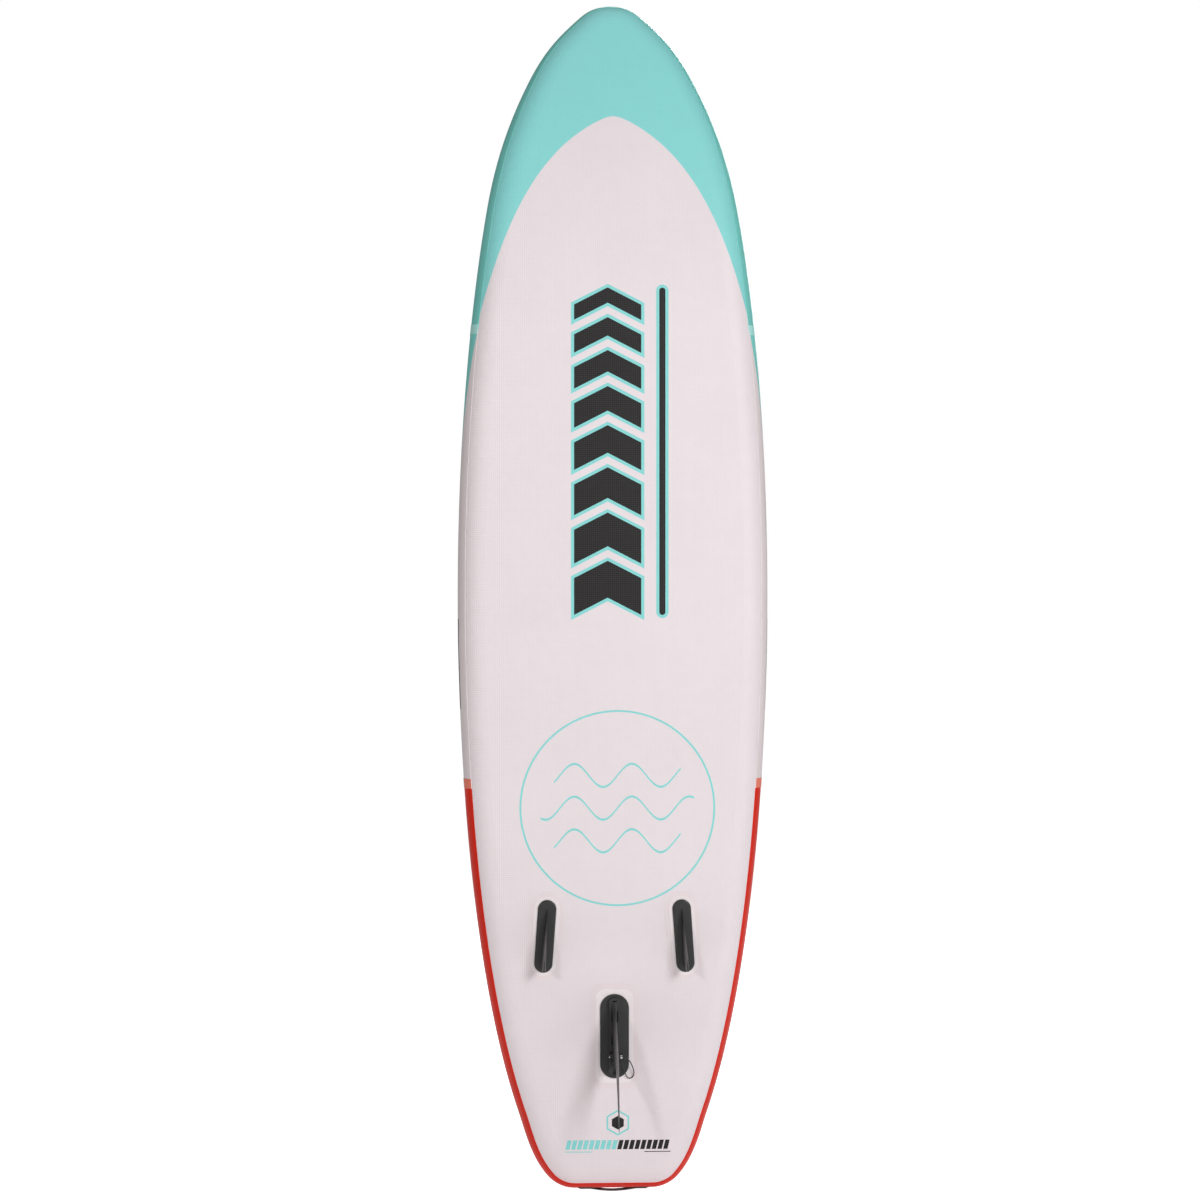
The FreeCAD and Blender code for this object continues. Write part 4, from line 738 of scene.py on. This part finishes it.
# %% Bungee
BUNGEE_UP = PATCH_THICK + BAND_THICK + 0.0005 + CORD_RADIUS
CROSSING_RISE = 0.008
CARGO_MIDDLE = (CARGO_LOW + CARGO_HIGH) / 2
diagonal = math.atan2(CARGO_HIGH - CARGO_LOW, 2 * CARGO_HALF)
step_up, step_across = 2 * CORD_RADIUS * math.sin(diagonal), 2 * CORD_RADIUS * math.cos(diagonal)
lock_ends = [deck_place(CARGO_LOW, side * CARGO_HALF / 4) @ Vector((0, 0, BUNGEE_UP))
             for side in (-1, 1)]
turns = []
for place, start in zip(CARGO_PLACES, (CARGO_LOW, CARGO_MIDDLE, CARGO_HIGH, CARGO_MIDDLE)):
    across = -CARGO_HALF / 4 if start == CARGO_LOW else 0
    came_from = deck_place(start, across).translation
    ends = [place @ Vector((side * 5 * CORD_RADIUS, 0, BUNGEE_UP)) for side in (-1, 1)]
    turns.append(sorted(ends, key=lambda end: (end - came_from).length))
crossing_up = Vector((0, 0, BUNGEE_UP + CROSSING_RISE))
over = [deck_place(CARGO_MIDDLE + side * step_up, -side * step_across) @ crossing_up
        for side in (1, -1)]
bungee_route = [lock_ends[0], *turns[0], *turns[1], *turns[2], *over, *turns[3], lock_ends[1]]
cargo_bungee = smooth_cord("cargo_bungee", bungee_route, CORD_RADIUS)
cargo_bungee.data.materials.append(finishes["bungee"])
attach(cargo_bungee, "board")
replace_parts(cargo_bungee, "bungee_cord")
print("bungee points", len(bungee_route))

# %% [markdown]
# ## Stitching
# The webbing is sewn with a pale bonded thread, 4 mm a stitch. One Geometry Nodes tree walks along
# every seam line, puts a small bead of thread at each step and turns it to lie along the seam. The
# feet of the handles have a box with a cross in it, and the tabs have a plain box.

# %% Stitch tree
STITCH_PITCH, STITCH_LONG, STITCH_WIDE = 0.0040, 0.0029, 0.0009
thread = grained("bonded_nylon_thread", "#8C8A88", "#A5A3A0", 0.55, 0.0006, 0.0001, Sheen_Weight=0.2)


def geometry_tree(name, kinds):
    """A Geometry Nodes tree with geometry in and out, and one more input for each label and kind."""
    tree = bpy.data.node_groups.new(name, "GeometryNodeTree")
    for label, kind in {"Geometry": "Geometry", **kinds}.items():
        tree.interface.new_socket(label, in_out="INPUT", socket_type="NodeSocket" + kind)
    tree.interface.new_socket("Geometry", in_out="OUTPUT", socket_type="NodeSocketGeometry")
    return tree, add(tree, "NodeGroupInput", {}, {}).outputs


stitch_tree, given = geometry_tree("stitch_line", {
    "Pitch": "Float", "Stitch length": "Float", "Stitch width": "Float", "Thread": "Material"})
line = add(stitch_tree, "GeometryNodeMeshToCurve", {}, {"Mesh": given["Geometry"]}).outputs[0]
walked = add(stitch_tree, "GeometryNodeResampleCurve", {"mode": "LENGTH"},
             {"Curve": line, "Length": given["Pitch"]}).outputs[0]
heading = add(stitch_tree, "GeometryNodeInputTangent", {}, {}).outputs[0]
turned = add(stitch_tree, "FunctionNodeAlignRotationToVector", {"axis": "X"},
             {"Vector": heading}).outputs[0]
bead = add(stitch_tree, "GeometryNodeMeshIcoSphere", {}, {"Radius": 0.5, "Subdivisions": 1}).outputs[0]
shape = add(stitch_tree, "ShaderNodeCombineXYZ", {},
            {0: given["Stitch length"], 1: given["Stitch width"], 2: given["Stitch width"]})
sewn = add(stitch_tree, "GeometryNodeInstanceOnPoints", {},
           {"Points": walked, "Instance": bead, "Rotation": turned, "Scale": shape.outputs[0]})
real = add(stitch_tree, "GeometryNodeRealizeInstances", {}, {"Geometry": sewn.outputs[0]}).outputs[0]
smooth = add(stitch_tree, "GeometryNodeSetShadeSmooth", {}, {"Geometry": real}).outputs[0]
finished = add(stitch_tree, "GeometryNodeSetMaterial", {},
               {"Geometry": smooth, "Material": given["Thread"]}).outputs[0]
add(stitch_tree, "NodeGroupOutput", {}, {"Geometry": finished})


def from_tree(name, tree, mesh, values):
    """Runs a Geometry Nodes tree on a mesh with named values and returns the plain mesh it makes."""
    holder = bpy.data.objects.new(name + "_source", mesh)
    bpy.context.scene.collection.objects.link(holder)
    modifier = holder.modifiers.new(name, "NODES")
    modifier.node_group = tree
    sockets = {item.name: item.identifier for item in tree.interface.items_tree
               if item.in_out == "INPUT"}
    for label, value in values.items():
        modifier[sockets[label]] = value
    bpy.context.view_layer.update()
    made = bpy.data.meshes.new_from_object(holder.evaluated_get(bpy.context.evaluated_depsgraph_get()))
    made.name = name
    bpy.data.objects.remove(holder)
    return made


def seam_box(place, low, high, half, up, crossed):
    """Seam lines round a box on a strap, from low to high along its run, with a cross if asked."""
    corners = [(-half, low), (half, low), (half, high), (-half, high)]
    lines = list(zip(corners, corners[1:] + corners[:1]))
    if crossed:
        lines += [(corners[0], corners[2]), (corners[1], corners[3])]
    return [[place @ Vector((x, y, up)) for x, y in line] for line in lines]


TAB_SEAM_UP = 0.0034
seams = []
for handle in HANDLES.values():
    near, far = handle["span"] / 2 + 0.005, handle["span"] / 2 + handle["foot"] - 0.004
    for side in (-1, 1):
        ends = sorted((side * near, side * far))
        seams += seam_box(handle["place"], *ends, handle["width"] / 2 - 0.004, handle["seam_up"], True)
for places in RING_PLACES.values():
    for place in places:
        seams += seam_box(place, 0.0125, 0.0215, 0.0095, LOOP_BASE + TAB_SEAM_UP, False)
for place in CARGO_PLACES:
    seams += seam_box(place, 0.0125, 0.0175, 0.0062, PATCH_THICK + TAB_SEAM_UP, False)
seam_mesh = bpy.data.meshes.new("seam_lines")
seam_ends = [end for line in seams for end in line]
seam_mesh.from_pydata(seam_ends, [(2 * n, 2 * n + 1) for n in range(len(seams))], [])
stitch_sizes = {"Pitch": STITCH_PITCH, "Stitch length": STITCH_LONG, "Stitch width": STITCH_WIDE,
                "Thread": thread}
stitches = from_tree("webbing_stitches", stitch_tree, seam_mesh, stitch_sizes)
new_piece("webbing_stitches", stitches, thread, "board")
print("seams", len(seams), "stitch faces", len(stitches.polygons))

# %% [markdown]
# ## The neoprene grip
# The carry handle's sleeve is foam rubber wrapped round the webbing: fullest in the middle, drawn
# in at its ends, with a ridge seam underneath. It is a closed skin of rings whose size swells and
# then closes to a point at both ends, so no hole is left.

# %% Grip
GRIP_WIDE, GRIP_DEEP = 0.046, 0.015
neoprene, neoprene_tree, neoprene_shader = new_finish("stitched_neoprene", "#2A2A2C", 0.85,
                                                      Sheen_Weight=0.4)
neoprene_place, neoprene_axes = place_on(neoprene_tree)
knit = weave_dots(neoprene_tree, neoprene_axes, 0.0022)
surface_detail(neoprene_tree, neoprene_shader, knit, linear("#1F1F21"), linear("#38383B"), knit, 0.0003)

grip_span, grip_rise = HANDLES["carry"]["span"], HANDLES["carry"]["rise"]
grip_radius = (grip_span ** 2 / 4 + grip_rise ** 2) / (2 * grip_rise)
grip_centre = PATCH_THICK + grip_rise - grip_radius
grip_angle = math.radians(26)
form = bmesh.new()
GRIP_RINGS, GRIP_SIDES = 48, 36
rings = []
for number in range(1, GRIP_RINGS):
    share = -1 + 2 * number / GRIP_RINGS
    close = (1 - abs(share) ** 14) ** 0.5
    swell = close * (0.94 + 0.06 * math.cos(share * math.pi / 2))
    angle = share * grip_angle
    ring = []
    for side in range(GRIP_SIDES):
        turn = 2 * math.pi * side / GRIP_SIDES
        across = math.copysign(abs(math.cos(turn)) ** 0.72, math.cos(turn)) * GRIP_WIDE / 2 * swell
        seam = 0.0007 * math.exp(-((turn - 1.5 * math.pi) / 0.16) ** 2)
        out = math.copysign(abs(math.sin(turn)) ** 0.8, math.sin(turn)) * GRIP_DEEP / 2 * swell - seam
        reach = grip_radius + 0.0015 + out
        spot = Vector((across, reach * math.sin(angle), grip_centre + reach * math.cos(angle)))
        ring.append(form.verts.new(CARRY_PLACE @ spot))
    rings.append(ring)
for before, after in zip(rings, rings[1:]):
    for side in range(GRIP_SIDES):
        nxt = (side + 1) % GRIP_SIDES
        form.faces.new((before[side], before[nxt], after[nxt], after[side])).smooth = True
form.faces.new(rings[0][::-1])
form.faces.new(rings[-1])
bmesh.ops.recalc_face_normals(form, faces=form.faces[:])
grip_sleeve = new_piece("grip_sleeve", mesh_of("grip_sleeve", form), neoprene, "board")
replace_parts(grip_sleeve, "carry_handle_grip")
print("grip rings", len(rings))

# %% [markdown]
# ## The foam deck pad
# The pad is closed-cell EVA foam, routed with crossing grooves that leave diamond tiles, so a wet
# foot doesn't slip. The sheet is the CAD pad's own outline with a lower top, and one Geometry Nodes
# tree sets a tapered tile on a diamond lattice wherever the sheet is underneath and its edge is not
# too near, which leaves the plain border that a real pad has.

# %% Deck pad
PAD_FACE = 0.0800
SHEET_FACE = 0.0782
TILE_WIDE, TILE_TALL, GROOVE = 0.030, 0.046, 0.0030
PAD_BORDER = 0.026


def eva(name, colour, deep):
    """Foam with fine closed cells: a soft mottle and a pitted relief."""
    return grained(name, colour, deep, 0.82, 0.0018, 0.0005, Sheen_Weight=0.25)


sheet_foam = eva("eva_foam_sheet", "#59656A", "#66737A")
tile_foam = eva("eva_foam_tile", "#9CCFCB", "#8FC4C0")
kick_foam = eva("eva_foam_kick", "#59656A", "#66737A")
sheet_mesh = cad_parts["deck_pad"].data.copy()
form = bmesh.new()
form.from_mesh(sheet_mesh)
bmesh.ops.remove_doubles(form, verts=form.verts[:], dist=1e-5)
for vert in form.verts:
    if vert.co.y > PAD_FACE - 0.0005:
        vert.co.y = SHEET_FACE
bmesh.ops.dissolve_limit(form, angle_limit=math.radians(0.5), verts=form.verts[:], edges=form.edges[:])
form.to_mesh(sheet_mesh)
form.free()
sheet_mesh.name = "pad_sheet"
pad_sheet = new_piece("pad_sheet", sheet_mesh, sheet_foam, "board")
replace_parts(pad_sheet, "deck_pad")

tile_tree, given = geometry_tree("diamond_tiles", {
    "Width": "Float", "Height": "Float", "Groove": "Float", "Rise": "Float", "Border": "Float",
    "Centre": "Vector", "Foam": "Material"})
COLUMNS, ROWS = 23, 37
grid_size = [add(tile_tree, "ShaderNodeMath", {"operation": "MULTIPLY"},
                 {0: given[name], 1: float(count - 1)}).outputs[0]
             for name, count in (("Width", COLUMNS), ("Height", ROWS))]
lattices = []
for shift in (0.0, 0.5):
    grid = add(tile_tree, "GeometryNodeMeshGrid", {},
               {"Size X": grid_size[0], "Size Y": grid_size[1], "Vertices X": COLUMNS,
                "Vertices Y": ROWS})
    step = add(tile_tree, "ShaderNodeCombineXYZ", {},
               {0: given["Width"], 1: given["Height"], 2: 0.0}).outputs[0]
    moved = add(tile_tree, "ShaderNodeVectorMath", {"operation": "SCALE"},
                {0: step, "Scale": shift}).outputs[0]
    lattices.append(add(tile_tree, "GeometryNodeTransform", {},
                        {"Geometry": grid.outputs[0], "Translation": moved}).outputs[0])
both = add(tile_tree, "GeometryNodeJoinGeometry", {}, {})
for lattice in lattices:
    tile_tree.links.new(lattice, both.inputs[0])
standing = add(tile_tree, "GeometryNodeTransform", {},
               {"Geometry": both.outputs[0], "Translation": given["Centre"],
                "Rotation": (math.pi / 2, 0, 0)})
place_now = add(tile_tree, "GeometryNodeInputPosition", {}, {}).outputs[0]
above = add(tile_tree, "ShaderNodeVectorMath", {"operation": "ADD"},
            {0: place_now, 1: (0, 0.02, 0)}).outputs[0]
down = add(tile_tree, "GeometryNodeRaycast", {},
           {"Target Geometry": given["Geometry"], "Source Position": above, "Ray Direction": (0, -1, 0),
            "Ray Length": 0.05})
facing = add(tile_tree, "ShaderNodeSeparateXYZ", {},
             {0: add(tile_tree, "GeometryNodeInputNormal", {}, {}).outputs[0]}).outputs[1]
upright_face = add(tile_tree, "ShaderNodeMath", {"operation": "COMPARE"},
                   {0: facing, 1: 0.0, 2: 0.5}).outputs[0]
walls = add(tile_tree, "GeometryNodeSeparateGeometry", {"domain": "FACE"},
            {"Geometry": given["Geometry"], "Selection": upright_face}).outputs[0]
near = add(tile_tree, "GeometryNodeProximity", {"target_element": "FACES"},
           {0: walls, "Source Position": place_now}).outputs["Distance"]
clear = add(tile_tree, "ShaderNodeMath", {"operation": "GREATER_THAN"},
            {0: near, 1: given["Border"]}).outputs[0]
kept = add(tile_tree, "FunctionNodeBooleanMath", {"operation": "AND"},
           {0: clear, 1: down.outputs["Is Hit"]}).outputs[0]
tile = add(tile_tree, "GeometryNodeMeshCone", {},
           {"Vertices": 4, "Radius Top": 0.46, "Radius Bottom": 0.5, "Depth": 1.0}).outputs["Mesh"]
inner = [add(tile_tree, "ShaderNodeMath", {"operation": "SUBTRACT"},
             {0: given[name], 1: given["Groove"]}).outputs[0] for name in ("Width", "Height")]
tile_size = add(tile_tree, "ShaderNodeCombineXYZ", {},
                {0: inner[0], 1: inner[1], 2: given["Rise"]}).outputs[0]
sized = add(tile_tree, "GeometryNodeTransform", {}, {"Geometry": tile, "Scale": tile_size}).outputs[0]
laid = add(tile_tree, "GeometryNodeTransform", {},
           {"Geometry": sized, "Rotation": (-math.pi / 2, 0, 0)}).outputs[0]
tiles = add(tile_tree, "GeometryNodeInstanceOnPoints", {},
            {"Points": standing.outputs[0], "Selection": kept, "Instance": laid}).outputs[0]
real = add(tile_tree, "GeometryNodeRealizeInstances", {}, {"Geometry": tiles}).outputs[0]
finished = add(tile_tree, "GeometryNodeSetMaterial", {},
               {"Geometry": real, "Material": given["Foam"]}).outputs[0]
add(tile_tree, "NodeGroupOutput", {}, {"Geometry": finished})

pad_low, pad_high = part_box("deck_pad")
pad_middle = Vector((0, SHEET_FACE, (pad_low.z + pad_high.z) / 2))
tile_sizes = {"Width": TILE_WIDE, "Height": TILE_TALL, "Groove": GROOVE,
              "Rise": 2 * (PAD_FACE - SHEET_FACE), "Border": PAD_BORDER, "Centre": pad_middle,
              "Foam": tile_foam}
tile_mesh = from_tree("pad_tiles", tile_tree, sheet_mesh.copy(), tile_sizes)
new_piece("pad_tiles", tile_mesh, tile_foam, "board")
print("tile faces", len(tile_mesh.polygons))

# %% [markdown]
# ## The kick pad
# At the tail end of the pad a raised foam wedge stops the rider's back foot. It is one outline run
# across the board, with its long edges rounded by a bevel in the mesh, as a hot-pressed foam has them.

# %% Kick pad
kick_low, kick_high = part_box("kick_pad")
KICK_LENGTH, KICK_HEIGHT = kick_high.z - kick_low.z, kick_high.y - kick_low.y
KICK_OUTLINE = ((0, 0), (1, 0), (0.72, 0.9), (0.5, 1), (0.2, 0.85))
form = bmesh.new()
ends = []
for x in (kick_low.x, kick_high.x):
    spots = [(x, kick_low.y + up * KICK_HEIGHT, kick_low.z + run * KICK_LENGTH)
             for run, up in KICK_OUTLINE]
    ends.append([form.verts.new(spot) for spot in spots])
form.faces.new(ends[0])
form.faces.new(ends[1][::-1])
for number in range(len(KICK_OUTLINE)):
    after = (number + 1) % len(KICK_OUTLINE)
    form.faces.new((ends[0][after], ends[0][number], ends[1][number], ends[1][after]))
bmesh.ops.recalc_face_normals(form, faces=form.faces[:])
edges = [edge for edge in form.edges if edge.calc_face_angle(0) > math.radians(12)]
bmesh.ops.bevel(form, geom=edges, offset=0.004, segments=4, profile=0.5, affect="EDGES",
                clamp_overlap=True)
for face in form.faces:
    face.smooth = True
kick_wedge = new_piece("kick_wedge", mesh_of("kick_wedge", form), kick_foam, "board")
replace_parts(kick_wedge, "kick_pad")
print("kick pad", round(KICK_LENGTH, 3), round(KICK_HEIGHT, 3))

# %% [markdown]
# ## Floor and light
# The board stands on a pale floor in an evenly lit white studio. Two soft lamps almost face the
# hull, one each side of the camera: the fin throws a crisper shadow from the left one and a broad
# faint one from the right one, and the right rail comes out brighter than the left.

# %% Stage
FLOOR_GLOW, FLOOR_BOUNCE = 0.90, 0.25
SKY_GLOW, SKY_BOUNCE = 1.00, 0.15


def glow_and_bounce(tree, glow, bounce):
    """A strength that is glow where the camera looks straight at it, and bounce as light on things."""
    seen = add(tree, "ShaderNodeLightPath", {}, {}).outputs["Is Camera Ray"]
    return formula(tree, seen, ("MULTIPLY_ADD", glow - bounce, bounce))


floor_material, floor_tree, floor_shader = new_finish("pale_floor", "#F6F6F6", 0.9)
floor_shader.inputs["Emission Color"].default_value = (1, 1, 1, 1)
floor_glow = glow_and_bounce(floor_tree, FLOOR_GLOW, FLOOR_BOUNCE)
floor_tree.links.new(floor_glow, floor_shader.inputs["Emission Strength"])
FLOOR_REACH = 60.0
floor_mesh = bpy.data.meshes.new("studio_floor")
floor_height = cad_low.z - 0.0005
corners = [(x, y, floor_height) for x, y in ((-1, -1), (1, -1), (1, 1), (-1, 1))]
floor_mesh.from_pydata([(x * FLOOR_REACH, y * FLOOR_REACH, z) for x, y, z in corners], [],
                       [(0, 1, 2, 3)])
floor_mesh.materials.append(floor_material)
floor = bpy.data.objects.new("studio_floor", floor_mesh)
bpy.context.scene.collection.objects.link(floor)

world = bpy.data.worlds.new("white_studio")
world.use_nodes = True
world_tree = world.node_tree
world_tree.nodes.clear()
brightness = glow_and_bounce(world_tree, SKY_GLOW, SKY_BOUNCE)
backdrop = add(world_tree, "ShaderNodeBackground", {}, {"Color": (1, 1, 1, 1), "Strength": brightness})
add(world_tree, "ShaderNodeOutputWorld", {}, {"Surface": backdrop.outputs[0]})
bpy.context.scene.world = world


def lamp(name, azimuth, elevation, distance, width, power, tint):
    """A square soft lamp that faces the board's middle from an azimuth and an elevation."""
    data = bpy.data.lights.new(name, "AREA")
    data.size = width
    data.energy = power
    data.color = linear(tint)[:3]
    light = bpy.data.objects.new(name, data)
    bpy.context.scene.collection.objects.link(light)
    turn, rise = math.radians(azimuth), math.radians(elevation)
    side = Vector((math.sin(turn) * math.cos(rise), -math.cos(turn) * math.cos(rise), math.sin(rise)))
    light.location = Vector((0, 0, 1.3)) + side * distance
    light.rotation_euler = (-side).to_track_quat("-Z", "Y").to_euler()
    return light


lamp("left_key", -30, 12, 7.0, 0.6, 88, "#FFFAF6")
lamp("right_key", 27, 14, 7.0, 1.9, 232, "#FFFFFF")
lamp("deck_fill", 165, 25, 7.0, 3.0, 230, "#FFFFFF")
lamp("overhead", 0, 85, 6.0, 4.0, 60, "#FFFFFF")
print("floor at", round(floor_height, 4))
